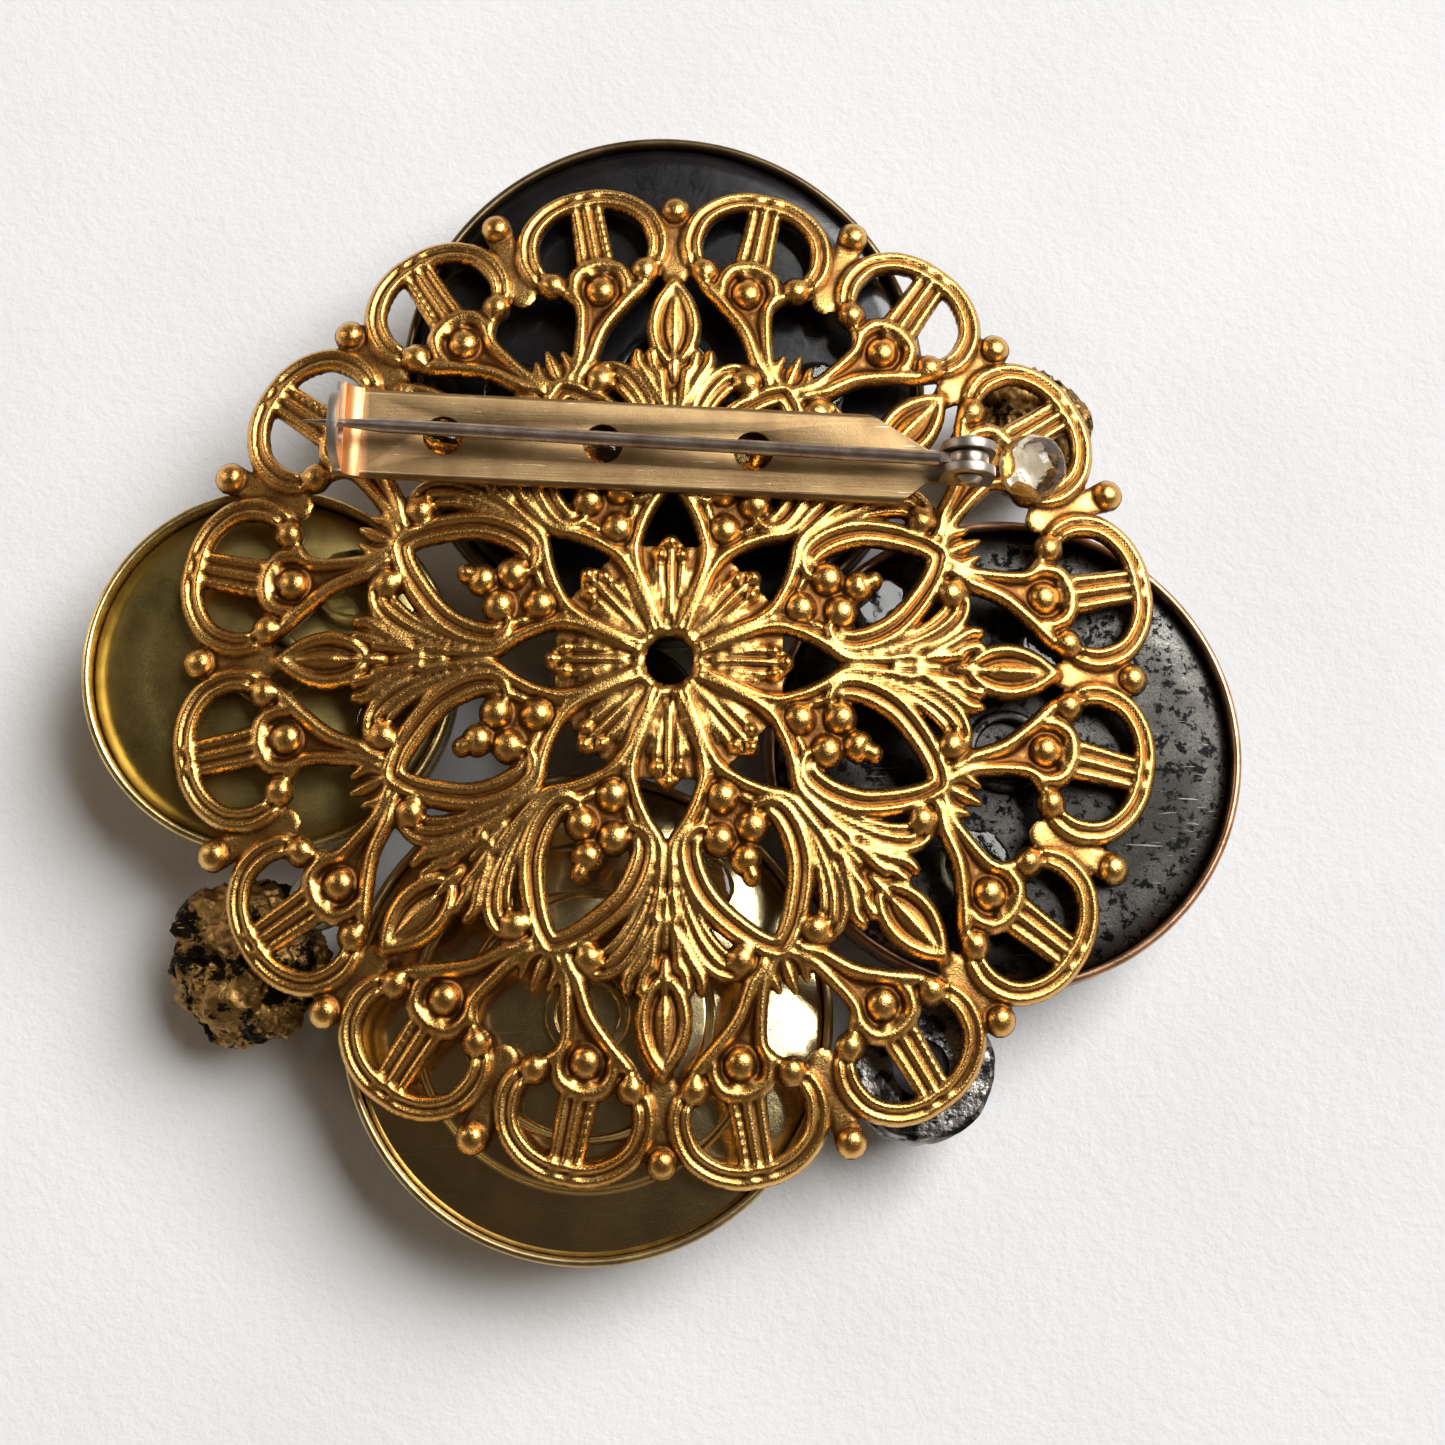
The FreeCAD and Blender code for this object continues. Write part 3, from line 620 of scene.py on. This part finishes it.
def softenedCopy(node, material, body, width, s=wornEdges):
    mesh = bmesh.new()
    mesh.from_mesh(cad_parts[node].data)
    bmesh.ops.remove_doubles(mesh, verts=mesh.verts, dist=s["merge"] * mm)
    bmesh.ops.dissolve_limit(mesh, angle_limit=math.radians(s["flatten"]), verts=mesh.verts, edges=mesh.edges)
    data = bpy.data.meshes.new(node)
    mesh.to_mesh(data)
    mesh.free()
    piece = finishPiece(node + "_worn", data, material, body, (node,))
    bevel = piece.modifiers.new("edges", "BEVEL")
    bevel.width = width * mm
    bevel.segments = s["segments"]
    bevel.limit_method = "ANGLE"
    bevel.angle_limit = math.radians(s["degrees"])
    bevel.use_clamp_overlap = True
    smoothAngles(applyModifiers(piece), s["shadeSmooth"])


barFinish = {"light": (0.34, 0.23, 0.11), "dark": (0.24, 0.15, 0.07), "rough": (0.34, 0.48), "patch": 0.3,
             "grain": 12.0, "grainDepth": 0.01, "stretch": (0.12, 3.0, 1), "turn": -2, "lineDepth": 0.012,
             "spot": (0.16, 0.11, 0.06), "spotFrom": 0.67, "scratch": (0.7, 0.6, 0.42), "scratchFrom": 0.69,
             # the bright orange band on the bend at the catch end is a painted highlight; the grey at the
             # catch tab and at the hinge end is worn plating
             "ends": ((-16.9, -17.4, (0.85, 0.45, 0.20)), (-18.2, -18.5, (0.55, 0.50, 0.46)),
                      (14.0, 15.0, (0.40, 0.36, 0.32)))}
pinFinish = {"light": (0.60, 0.51, 0.45), "dark": (0.38, 0.30, 0.25), "rough": (0.25, 0.42), "patch": 0.7,
             "stretch": (0.1, 4.0, 4.0), "turn": -2, "spot": (0.12, 0.08, 0.05), "spotFrom": 0.64}
rivetFinish = {"light": (0.62, 0.60, 0.56), "dark": (0.42, 0.38, 0.33), "rough": (0.22, 0.4), "patch": 1.4}
softenedCopy("pin_bar", metalFinish("barBrass", barFinish), "brooch", 0.05)
softenedCopy("pin_stem", metalFinish("pinSteel", pinFinish), "pin", 0.03)
softenedCopy("hinge_rivet", metalFinish("rivetSteel", rivetFinish), "pin_pivot", 0.04)
print("bar pin made")


# buttons

buttonFrame = {
    "lip": 1.0, "height": 2.4, "wall": 0.5, "lipRound": (0.2, 0.3),
    "waist": 0.08, "waistTop": (0.8, 0.95), "waistFoot": (0.4, 0.2), "foot": 0.1,
    "plateSheet": 0.45, "plateGap": 0.03, "clear": 0.02,
    "plateRound": ((0.0, 0.25), (0.12, 0.1), (0.35, 0.0)),  # inwards and down, on a stepped plate's edge
    "stepCurve": ((0.55, 0, 0), (0.38, 0, 0.05), (0.2, 0.5, 0), (0.05, 1, -0.05), (-0.15, 1, 0)),
    "stepLanding": 0.6,
    "shankHeight": 0.6, "shankWall": 0.7, "shankRound": (0.25, 0.2),
    "frontSheet": 0.7, "relief": 0.55, "reliefFade": 6, "frontSeat": 0.97, "seatDepth": 0.5,
    "frontLeast": 0.65, "frontRings": 72, "frontSteps": 288, "lowest": -11.5,
}
buttons = {
    "top_button": {"centre": (-0.5, 17.3), "radius": 15.2, "lipZ": -4.1, "rise": 0.35, "shank": 3.1,
                   "roll": (1.3, 0.45), "crown": 0.12},
    "right_button": {"centre": (19.2, -4.1), "radius": 13.6, "lipZ": -4.1, "rise": 0.5, "shank": 2.4,
                     "roll": (3.0, 0.95), "crown": 0.15},
    "left_button": {"centre": (-22.6, 0.0), "radius": 10.6, "lipZ": -4.1, "rise": 0.8, "shank": 2.2,
                    "roll": (3.6, 1.0), "crown": 0.5},
    "bottom_button": {"centre": (-4.2, -19.3), "radius": 13.7, "lipZ": -4.4, "rise": 1.1, "shank": 2.4,
                      "steps": (6.6, 9.4)},
}


def rimProfile(b, f):
    radius, top = b["radius"], b["lipZ"]
    wall = radius - f["wall"]
    low = top - f["height"]
    inner, outer = f["lipRound"]
    waist = radius - f["waist"]
    lip = arcPoints((wall + inner, top - inner), inner, 180, 90, 5)
    lip += arcPoints((radius - outer, top - outer), outer, 90, 0, 7)  # both arcs hold the crest's point
    side = [(radius, top - f["waistTop"][0]), (waist, top - f["waistTop"][1]),
            (waist, low + f["waistFoot"][0]), (radius, low + f["waistFoot"][1])]
    return lip + side + [(radius - f["foot"], low), (wall, low)]


def plateRadius(b, f):
    return b["radius"] - f["wall"] - f["plateGap"]


def plateEdge(b, f):
    # a domed plate sits low enough to clear the lip over it; a stepped one is flat under the lip
    under = b["lipZ"] - f["wall"]
    if "steps" in b:
        return under
    return under - b["rise"] * (1 - ((b["radius"] - f["lip"]) / plateRadius(b, f)) ** 2) - f["clear"]


def steppedTop(b, f):
    edge = plateRadius(b, f)
    height = plateEdge(b, f)
    rise = b["rise"] / len(b["steps"])
    top = [(edge - inwards, height - down) for inwards, down in f["plateRound"]]
    for step in reversed(b["steps"]):
        top += [(step + outwards, height + share * rise + lift) for outwards, share, lift in f["stepCurve"]]
        height += rise
    return top + [(b["shank"] + f["stepLanding"], height), (0.0, height)]


def domedTop(b, f, shoulderPoints=12, crownPoints=20):
    across, down = b["roll"]
    shoulder = plateEdge(b, f) + b["rise"] - b["crown"]
    flat = plateRadius(b, f) - across
    top = []
    for k in range(shoulderPoints + 1):
        angle = math.pi / 2 * k / shoulderPoints
        top.append((flat + across * math.cos(angle), shoulder - down * (1 - math.sin(angle))))
    for k in range(1, crownPoints + 1):
        r = flat * (1 - k / crownPoints)
        top.append((r, shoulder + b["crown"] * (1 - (r / flat) ** 2)))
    return top


def plateProfile(b, f):
    top = steppedTop(b, f) if "steps" in b else domedTop(b, f)
    return top + [(r, z - f["plateSheet"]) for r, z in reversed(top)]


def shankProfile(b, f):
    base = plateEdge(b, f) + b["rise"]
    outer, inner = b["shank"], b["shank"] - f["shankWall"]
    top = base + f["shankHeight"]
    out, into = f["shankRound"]
    return ([(outer, base - f["clear"])] + arcPoints((outer - out, top - out), out, 0, 90, 5)
            + arcPoints((inner + into, top - into), into, 90, 180, 5) + [(inner, base - f["clear"])])


def swelling(r, centre, width):
    return math.exp(-((r - centre) / width) ** 2)


def frontPattern(kind, r, angle):
    # height of the stamped design, from 0 to 1; the fronts face the table and their designs are invented
    ring = swelling(r, 0.93, 0.035)
    beadRow = max(0.0, math.cos(angle * 48)) * swelling(r, 0.85, 0.03)
    if kind == "petals":
        petal = abs(math.cos(angle * 6)) ** 0.6 * swelling(r, 0.48, 0.22)
        return max(ring, beadRow, 0.9 * petal, swelling(r, 0, 0.14))
    if kind == "star":
        point = max(0.0, 1 - abs(((angle / (2 * math.pi) * 8) % 1) - 0.5) * 2 / max(0.05, 0.95 - r))
        return max(ring, 0.8 * beadRow, 0.85 * point * (r < 0.8), swelling(r, 0, 0.12))
    if kind == "basket":
        x, y = r * math.cos(angle) * 14, r * math.sin(angle) * 14
        weave = 0.5 + 0.5 * math.cos(x * 2.2) * math.cos(y * 2.2)
        return max(ring, 0.7 * weave * (r < 0.78))
    rays = 0.5 + 0.5 * math.cos(angle * 32)
    inner = 0.5 + 0.5 * math.cos(r * 60)
    return max(ring, 0.7 * rays * (0.42 < r < 0.8), 0.6 * inner * (r < 0.4))


def makeFront(name, b, f, kind, material):
    rings, steps, radius = f["frontRings"], f["frontSteps"], b["radius"]
    x, y = b["centre"]
    edge = b["lipZ"] - f["height"] - f["clear"]
    middle = f["lowest"] + f["clear"]
    outerEdge = edge - f["frontSheet"]
    drop = middle + f["clear"] - edge + f["frontSheet"]
    corners, faces = [], []
    for side in (0, 1):  # the stamped face, then the face inside the button
        for k in range(rings + 1):
            r = radius * (1 - k / rings)
            base = outerEdge + drop * (1 - (r / radius) ** 2)
            for n in range(1 if k == rings else steps):
                angle = 2 * math.pi * n / steps
                if side == 0:
                    depth = f["relief"] * (1 - frontPattern(kind, r / radius, angle))
                    z = max(base + depth * min(1, f["reliefFade"] * (1 - r / radius)), middle)
                elif k == 0:
                    z = edge
                else:
                    seat = f["seatDepth"] * (r < radius * f["frontSeat"])
                    z = max(min(base + f["frontSheet"] + seat, edge), base + f["frontLeast"])
                corners.append((x + r * math.cos(angle), y + r * math.sin(angle), z))
    ringStart = [side * (rings * steps + 1) + k * steps for side in (0, 1) for k in range(rings + 1)]
    for side in (0, 1):
        for k in range(rings):
            a, c = ringStart[side * (rings + 1) + k], ringStart[side * (rings + 1) + k + 1]
            for n in range(steps):
                m = (n + 1) % steps
                if k == rings - 1:
                    faces.append((a + n, a + m, c))
                else:
                    faces.append((a + n, a + m, c + m, c + n))
    low, high = ringStart[0], ringStart[rings + 1]
    for n in range(steps):
        m = (n + 1) % steps
        faces.append((low + n, high + n, high + m, low + m))
    piece = meshPiece(name, corners, faces, material)
    outward(piece.data)
    smoothAngles(piece.data, 50)


buttonFinishes = {
    "black_japan": {"light": (0.004, 0.004, 0.005), "dark": (0.010, 0.009, 0.010), "rough": (0.10, 0.26),
                    "metallic": 0.0, "coat": 0.3, "patch": 0.4, "grainDepth": 0.004,
                    "spot": (0.05, 0.048, 0.045), "spotFrom": 0.68,
                    "scratch": (0.08, 0.08, 0.08), "scratchFrom": 0.72},
    "bronze_rim": {"light": (0.24, 0.17, 0.09), "dark": (0.12, 0.08, 0.04), "rough": (0.3, 0.5),
                   "patch": 0.5},
    "worn_black_steel": {"light": (0.13, 0.125, 0.115), "dark": (0.03, 0.028, 0.025),
                         "rough": (0.24, 0.44), "patch": 0.16, "mottled": True, "grainDepth": 0.012,
                         "spot": (0.006, 0.006, 0.006), "spotFrom": 0.52, "spotScale": 1.5},
    "copper_rim": {"light": (0.62, 0.36, 0.22), "dark": (0.32, 0.18, 0.10), "rough": (0.25, 0.5),
                   "patch": 0.5},
    "olive_brass": {"light": (0.44, 0.34, 0.12), "dark": (0.26, 0.20, 0.07), "rough": (0.26, 0.40),
                    "spot": (0.2, 0.18, 0.08), "spotFrom": 0.68, "grainDepth": 0.01},
    "gilt_rim": {"light": (0.80, 0.62, 0.28), "dark": (0.5, 0.36, 0.14), "rough": (0.2, 0.4), "patch": 0.6},
    "polished_brass": {"light": (0.80, 0.66, 0.36), "dark": (0.60, 0.48, 0.24), "rough": (0.10, 0.24),
                       "grainDepth": 0.002, "dent": 0.04, "lineDepth": 0.002,
                       "spot": (0.3, 0.27, 0.13), "spotFrom": 0.66, "scratch": (0.8, 0.75, 0.5)},
    "brass_rim": {"light": (0.56, 0.42, 0.20), "dark": (0.34, 0.23, 0.11), "rough": (0.25, 0.5),
                  "patch": 0.5},
    "top_front_brass": {"light": (0.50, 0.36, 0.16), "dark": (0.26, 0.18, 0.08), "rough": (0.28, 0.5)},
    "right_front_steel": {"light": (0.36, 0.35, 0.33), "dark": (0.20, 0.19, 0.18), "rough": (0.25, 0.45)},
    "left_front_gilt": {"light": (0.68, 0.50, 0.20), "dark": (0.4, 0.27, 0.1), "rough": (0.22, 0.42)},
    "bottom_front_brass": {"light": (0.55, 0.42, 0.18), "dark": (0.3, 0.21, 0.09), "rough": (0.26, 0.48)},
}
finishes = {slot: metalFinish(slot, s) for slot, s in buttonFinishes.items()}
buttonLooks = {
    "top_button": ("black_japan", "bronze_rim", "top_front_brass", "petals"),
    "right_button": ("worn_black_steel", "copper_rim", "right_front_steel", "star"),
    "left_button": ("olive_brass", "gilt_rim", "left_front_gilt", "rays"),
    "bottom_button": ("polished_brass", "brass_rim", "bottom_front_brass", "basket"),
}


def makeButton(name, b, f):
    plateSlot, rimSlot, frontSlot, design = buttonLooks[name]
    plate, rim, front = finishes[plateSlot], finishes[rimSlot], finishes[frontSlot]
    lathePiece(name + "_rim", rimProfile(b, f), b["centre"], rim, 50)
    lathePiece(name + "_back_plate", plateProfile(b, f), b["centre"], plate, 50)
    lathePiece(name + "_shank", shankProfile(b, f), b["centre"], plate, 60, 96)
    makeFront(name + "_front", b, f, design, front)


for name, b in buttons.items():
    makeButton(name, b, buttonFrame)
print("buttons made")


# nuggets, stone and cabochon

nuggets = {
    "southwest_nugget": {"centre": (-23.5, -16.3, -7.2), "radius": 4.9, "half": 3.5, "seed": 3.0},
    "northeast_nugget": {"centre": (21.0, 15.8, -7.2), "radius": 4.0, "half": 3.3, "seed": 11.0},
}
nuggetLumps = {"coarse": 1.7, "fine": 5, "size": 0.97, "lump": 0.20, "pit": 0.10, "largest": 1.02}
roughGold = {"light": (0.44, 0.26, 0.085), "dark": (0.18, 0.10, 0.032), "rough": (0.3, 0.6), "patch": 0.6,
             "spot": (0.012, 0.008, 0.005), "spotFrom": 0.50, "spotScale": 0.5, "dent": 0.25, "grain": 4.0,
             "grainDepth": 0.05}


def makeNugget(name, s, lumps, material):
    mesh = bmesh.new()
    bmesh.ops.create_icosphere(mesh, subdivisions=6, radius=1.0)
    for corner in mesh.verts:
        direction = corner.co.normalized()
        lump = noise.fractal(direction * lumps["coarse"] + Vector((s["seed"], 0, 0)), 0.9, 2.0, 4)
        pits = noise.turbulence(direction * lumps["fine"] + Vector((0, s["seed"], 0)), 4, True)
        grow = min(lumps["largest"], lumps["size"] + lumps["lump"] * lump - lumps["pit"] * pits)
        corner.co = Vector((s["centre"][0] + direction.x * s["radius"] * grow,
                            s["centre"][1] + direction.y * s["radius"] * grow,
                            s["centre"][2] + direction.z * s["half"] * grow)) * mm
    data = bpy.data.meshes.new(name)
    mesh.to_mesh(data)
    mesh.free()
    finishPiece(name, data, material, "brooch", (name,))


nuggetMaterial = metalFinish("roughGold", roughGold)
for name, s in nuggets.items():
    makeNugget(name, s, nuggetLumps, nuggetMaterial)

stone = {"centre": (14.4, -21.9), "back": -4.6, "radius": 3.9, "height": 3.0, "facets": 12,
         "culet": (1.5, 1.3), "bevel": (0.6, 1.2), "table": (2.6, 2.1), "play": 0.1,
         "setting": 4.3, "floor": 1.1, "hole": 1.6, "groove": (1.5, 1.7, 1.9), "grooveDepth": 0.12,
         "scallops": 14, "scallopDepth": 0.18, "batter": 0.16, "battered": 0.12,
         "light": (0.30, 0.28, 0.33), "dark": (0.14, 0.13, 0.16)}


def stoneFinish(s):
    material, tree, shader = startMaterial("greyCrystal")
    plain = millimetres(tree)
    clouds = noiseField(tree, plain, 0.6, 3)
    colour = mixColour(tree, ramp(tree, clouds, 0.35, 0.65), rgb(s["light"]), rgb(s["dark"]))
    tree.links.new(colour, shader.inputs["Base Color"])
    tree.links.new(rangeOf(tree, noiseField(tree, plain, 5.0), 0.04, 0.16), shader.inputs["Roughness"])
    shader.inputs["Transmission Weight"].default_value = 0.55
    shader.inputs["IOR"].default_value = 1.6
    bumpChain(tree, shader, [(clouds, 0.03)])
    return material


def makeStone(s, material):
    x, y = s["centre"]
    girdle = s["back"] - s["height"]
    rings = [(s["culet"][0], s["back"] - s["culet"][1]), (s["radius"] - s["play"], girdle),
             (s["radius"] - s["bevel"][0], girdle - s["bevel"][1]), (s["table"][0], girdle - s["table"][1])]
    corners, faces = [], []
    for level, (radius, height) in enumerate(rings):
        for k in range(s["facets"]):
            angle = 2 * math.pi * (k + 0.5 * (level % 2)) / s["facets"]
            corners.append((x + radius * math.cos(angle), y + radius * math.sin(angle), height))
    count = s["facets"]
    faces.append(list(range(count)))
    for level in range(len(rings) - 1):
        a, b = level * count, (level + 1) * count
        for k in range(count):
            n = (k + 1) % count
            if level % 2 == 0:
                faces += [(a + k, b + k, a + n), (a + n, b + k, b + n)]
            else:
                faces += [(a + k, b + n, a + n), (a + k, b + k, b + n)]
    faces.append(list(range((len(rings) - 1) * count, len(rings) * count)))
    outward(meshPiece("southeast_stone", corners, faces, material, False).data)


def settingProfile(s):
    z, outer, inner = s["back"], s["setting"], s["radius"]
    low, floor, hole = z - s["height"], z - s["floor"], s["hole"]
    start, bottom, end = s["groove"]
    return ([(outer - 0.6, z)] + arcPoints((outer - 0.5, z - 0.5), 0.5, 80, 0, 6)
            + [(outer, z - start), (outer - s["grooveDepth"], z - bottom), (outer, z - end), (outer, low),
               (inner, low), (inner, floor), (hole, floor), (hole, z)])


def scalloped(radius, angle, z):
    if radius <= stone["radius"]:
        return radius, z
    if z < stone["back"] - stone["groove"][2] - 0.05:
        return radius - stone["scallopDepth"] * (0.5 + 0.5 * math.cos(angle * stone["scallops"])), z
    bump = noise.noise(Vector((3 * math.cos(angle), 3 * math.sin(angle), 4 * z)))
    return radius + stone["batter"] * bump - stone["battered"], z


settingFinish = {"light": (0.34, 0.32, 0.30), "dark": (0.08, 0.07, 0.065), "rough": (0.2, 0.42), "patch": 0.8,
                 "spot": (0.015, 0.014, 0.013), "spotFrom": 0.5, "spotScale": 0.9, "dent": 0.2}
makeStone(stone, stoneFinish(stone))
lathePiece("southeast_stone_setting", settingProfile(stone), stone["centre"],
           metalFinish("darkSetting", settingFinish), 40, 168, scalloped)

cabochon = {"centre": (-1.8, -1.5), "back": -5.3, "radius": 3.05, "height": 5.2, "girdle": 2.2,
            "bezel": 3.5, "bezelHeight": 2.0, "bezelFloor": 0.5, "play": 0.02}


def cabochonProfile(s):
    seat = s["back"] - (s["bezelFloor"] + s["play"])
    girdle, low = s["back"] - s["girdle"], s["back"] - s["height"]
    dome = [(s["radius"] * math.cos(a), girdle + (low - girdle) * math.sin(a))
            for a in [math.pi / 2 * k / 16 for k in range(16)]]
    return [(0, seat), (s["radius"] - 0.2, seat), (s["radius"], seat - 0.2)] + dome + [(0, low)]


def bezelProfile(s):
    z, outer, inner = s["back"], s["bezel"], s["radius"] + 0.03
    low, floor = z - s["bezelHeight"], z - s["bezelFloor"]
    return ([(0, z), (outer - 0.35, z)] + arcPoints((outer - 0.3, z - 0.3), 0.3, 80, 0, 5)
            + [(outer, low + 0.3), (outer - 0.1, low), (inner, low), (inner, floor), (0, floor)])


blackGlass = {"light": (0.008, 0.008, 0.009), "dark": (0.014, 0.013, 0.014), "rough": (0.05, 0.16),
              "metallic": 0.0, "coat": 0.8, "spotFrom": 0.72, "spot": (0.05, 0.05, 0.05), "dent": 0.008,
              "grainDepth": 0.002}
# the bezel's brass is coloured near black: painted shade in the hole at the centre
bezelShadeFinish = {"light": (0.04, 0.03, 0.02), "dark": (0.012, 0.010, 0.008), "rough": (0.35, 0.6), "patch": 0.5}
lathePiece("centre_cabochon", cabochonProfile(cabochon), cabochon["centre"],
           metalFinish("blackGlass", blackGlass), 60, 128)
lathePiece("centre_cabochon_bezel", bezelProfile(cabochon), cabochon["centre"],
           metalFinish("bezelBrassPaintedShade", bezelShadeFinish), 50, 128)
print("small pieces made")


# glue: the CAD drops, remeshed and rounded into soft blobs

def glueFinish(name, tint, amber):
    material, tree, shader = startMaterial(name)
    plain = millimetres(tree)
    clouds = noiseField(tree, plain, 0.8, 4)
    tree.links.new(mixColour(tree, ramp(tree, clouds, 0.3, 0.7), rgb(tint), rgb(amber)),
                   shader.inputs["Base Color"])
    tree.links.new(rangeOf(tree, clouds, 0.02, 0.12), shader.inputs["Roughness"])
    shader.inputs["Transmission Weight"].default_value = 1.0
    shader.inputs["IOR"].default_value = 1.49
    bumpChain(tree, shader, [(clouds, 0.06), (noiseField(tree, plain, 4.0, 3), 0.008)])
    return material


glueSkin = {"passes": 6, "relax": 0.6, "ripple": 900, "rippleDepth": 0.12}


def makeGlue(node, material, voxel, seed, s=glueSkin):
    piece = finishPiece(node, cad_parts[node].data.copy(), material, "brooch", (node,))
    piece.name = node + "_set"
    remesh = piece.modifiers.new("blob", "REMESH")
    remesh.mode = "VOXEL"
    remesh.voxel_size = voxel * mm
    relax = piece.modifiers.new("relax", "SMOOTH")
    relax.iterations = s["passes"]
    relax.factor = s["relax"]
    data = applyModifiers(piece)
    normals = [corner.normal.copy() for corner in data.vertices]
    for corner, normal in zip(data.vertices, normals):
        shift = noise.noise(corner.co * s["ripple"] + Vector((seed, 0, 0)))
        corner.co += normal * (shift - 0.5) * s["rippleDepth"] * mm
    data.polygons.foreach_set("use_smooth", [True] * len(data.polygons))


clearGlue = glueFinish("clearGlue", (0.95, 0.90, 0.76), (0.86, 0.74, 0.50))
amberGlue = glueFinish("amberGlue", (0.82, 0.55, 0.22), (0.55, 0.30, 0.08))
makeGlue("filigree_adhesive", clearGlue, 0.2, 5.0)
makeGlue("bar_adhesive", amberGlue, 0.12, 9.0)
makeGlue("hinge_adhesive", clearGlue, 0.1, 2.0)
print("glue made")


# floor and light

floorSettings = {"size": 1200.0, "z": -11.5, "white": (0.79, 0.80, 0.82), "shade": (0.755, 0.765, 0.785)}


def paperFinish(s):
    material, tree, shader = startMaterial("paper")
    plain = millimetres(tree)
    fibres = noiseField(tree, plain, 1.6, 8, 0.65)
    clouds = ramp(tree, noiseField(tree, plain, 0.05, 3), 0.35, 0.65)
    tree.links.new(mixColour(tree, clouds, rgb(s["white"]), rgb(s["shade"])), shader.inputs["Base Color"])
    tree.links.new(rangeOf(tree, fibres, 0.75, 0.9), shader.inputs["Roughness"])
    shader.inputs["Specular IOR Level"].default_value = 0.2
    bumpChain(tree, shader, [(fibres, 0.09)])
    return material


def makeFloor(s):
    half = s["size"] / 2 * mm
    data = bpy.data.meshes.new("floor")
    z = s["z"] * mm
    corners = [(-half, -half, z), (half, -half, z), (half, half, z), (-half, half, z)]
    data.from_pydata(corners, [], [(0, 1, 2, 3)])
    data.materials.append(paperFinish(s))
    floor = bpy.data.objects.new("floor", data)
    bpy.context.scene.collection.objects.link(floor)


makeFloor(floorSettings)

lights = {
    "key": {"spot": (740, 480, 1080), "size": 1000, "power": 29.5, "colour": (1.0, 0.995, 0.98)},
    "low": {"spot": (-560, 200, 220), "size": 160, "power": 0.5, "colour": (1.0, 0.88, 0.74)},
}


def addLight(name, s):
    data = bpy.data.lights.new(name, "AREA")
    data.shape = "SQUARE"
    data.size = s["size"] * mm
    data.energy = s["power"]
    data.color = s["colour"]
    lamp = bpy.data.objects.new(name, data)
    bpy.context.scene.collection.objects.link(lamp)
    lamp.location = [v * mm for v in s["spot"]]
    lamp.rotation_euler = (-Vector(s["spot"])).to_track_quat("-Z", "Y").to_euler()


for name, s in lights.items():
    addLight(name, s)

skySettings = {"low": (0.70, 0.60, 0.48), "far": (0.42, 0.31, 0.20), "high": (0.10, 0.07, 0.045),
               "window": (0.80, 0.60, 0.0), "strength": 0.52}


def makeSky(s):
    world = bpy.data.worlds.new("sky")
    world.use_nodes = True
    tree = world.node_tree
    place = addNode(tree, "ShaderNodeTexCoord")
    split = addNode(tree, "ShaderNodeSeparateXYZ")
    tree.links.new(place.outputs["Generated"], split.inputs["Vector"])
    backdrop = tree.nodes["Background"]
    facing = addNode(tree, "ShaderNodeVectorMath", operation="DOT_PRODUCT")
    tree.links.new(place.outputs["Generated"], facing.inputs[0])
    facing.inputs[1].default_value = s["window"]
    horizon = ramp(tree, facing.outputs["Value"], 0.0, 0.9, rgb(s["far"]), rgb(s["low"]))
    height = ramp(tree, split.outputs["Z"], 0.1, 0.85)
    tree.links.new(mixColour(tree, height, horizon, rgb(s["high"])), backdrop.inputs["Color"])
    backdrop.inputs["Strength"].default_value = s["strength"]
    bpy.context.scene.world = world


makeSky(skySettings)
bpy.context.scene.view_settings.view_transform = "Standard"
print("floor and light made")

bpy.context.view_layer.update()
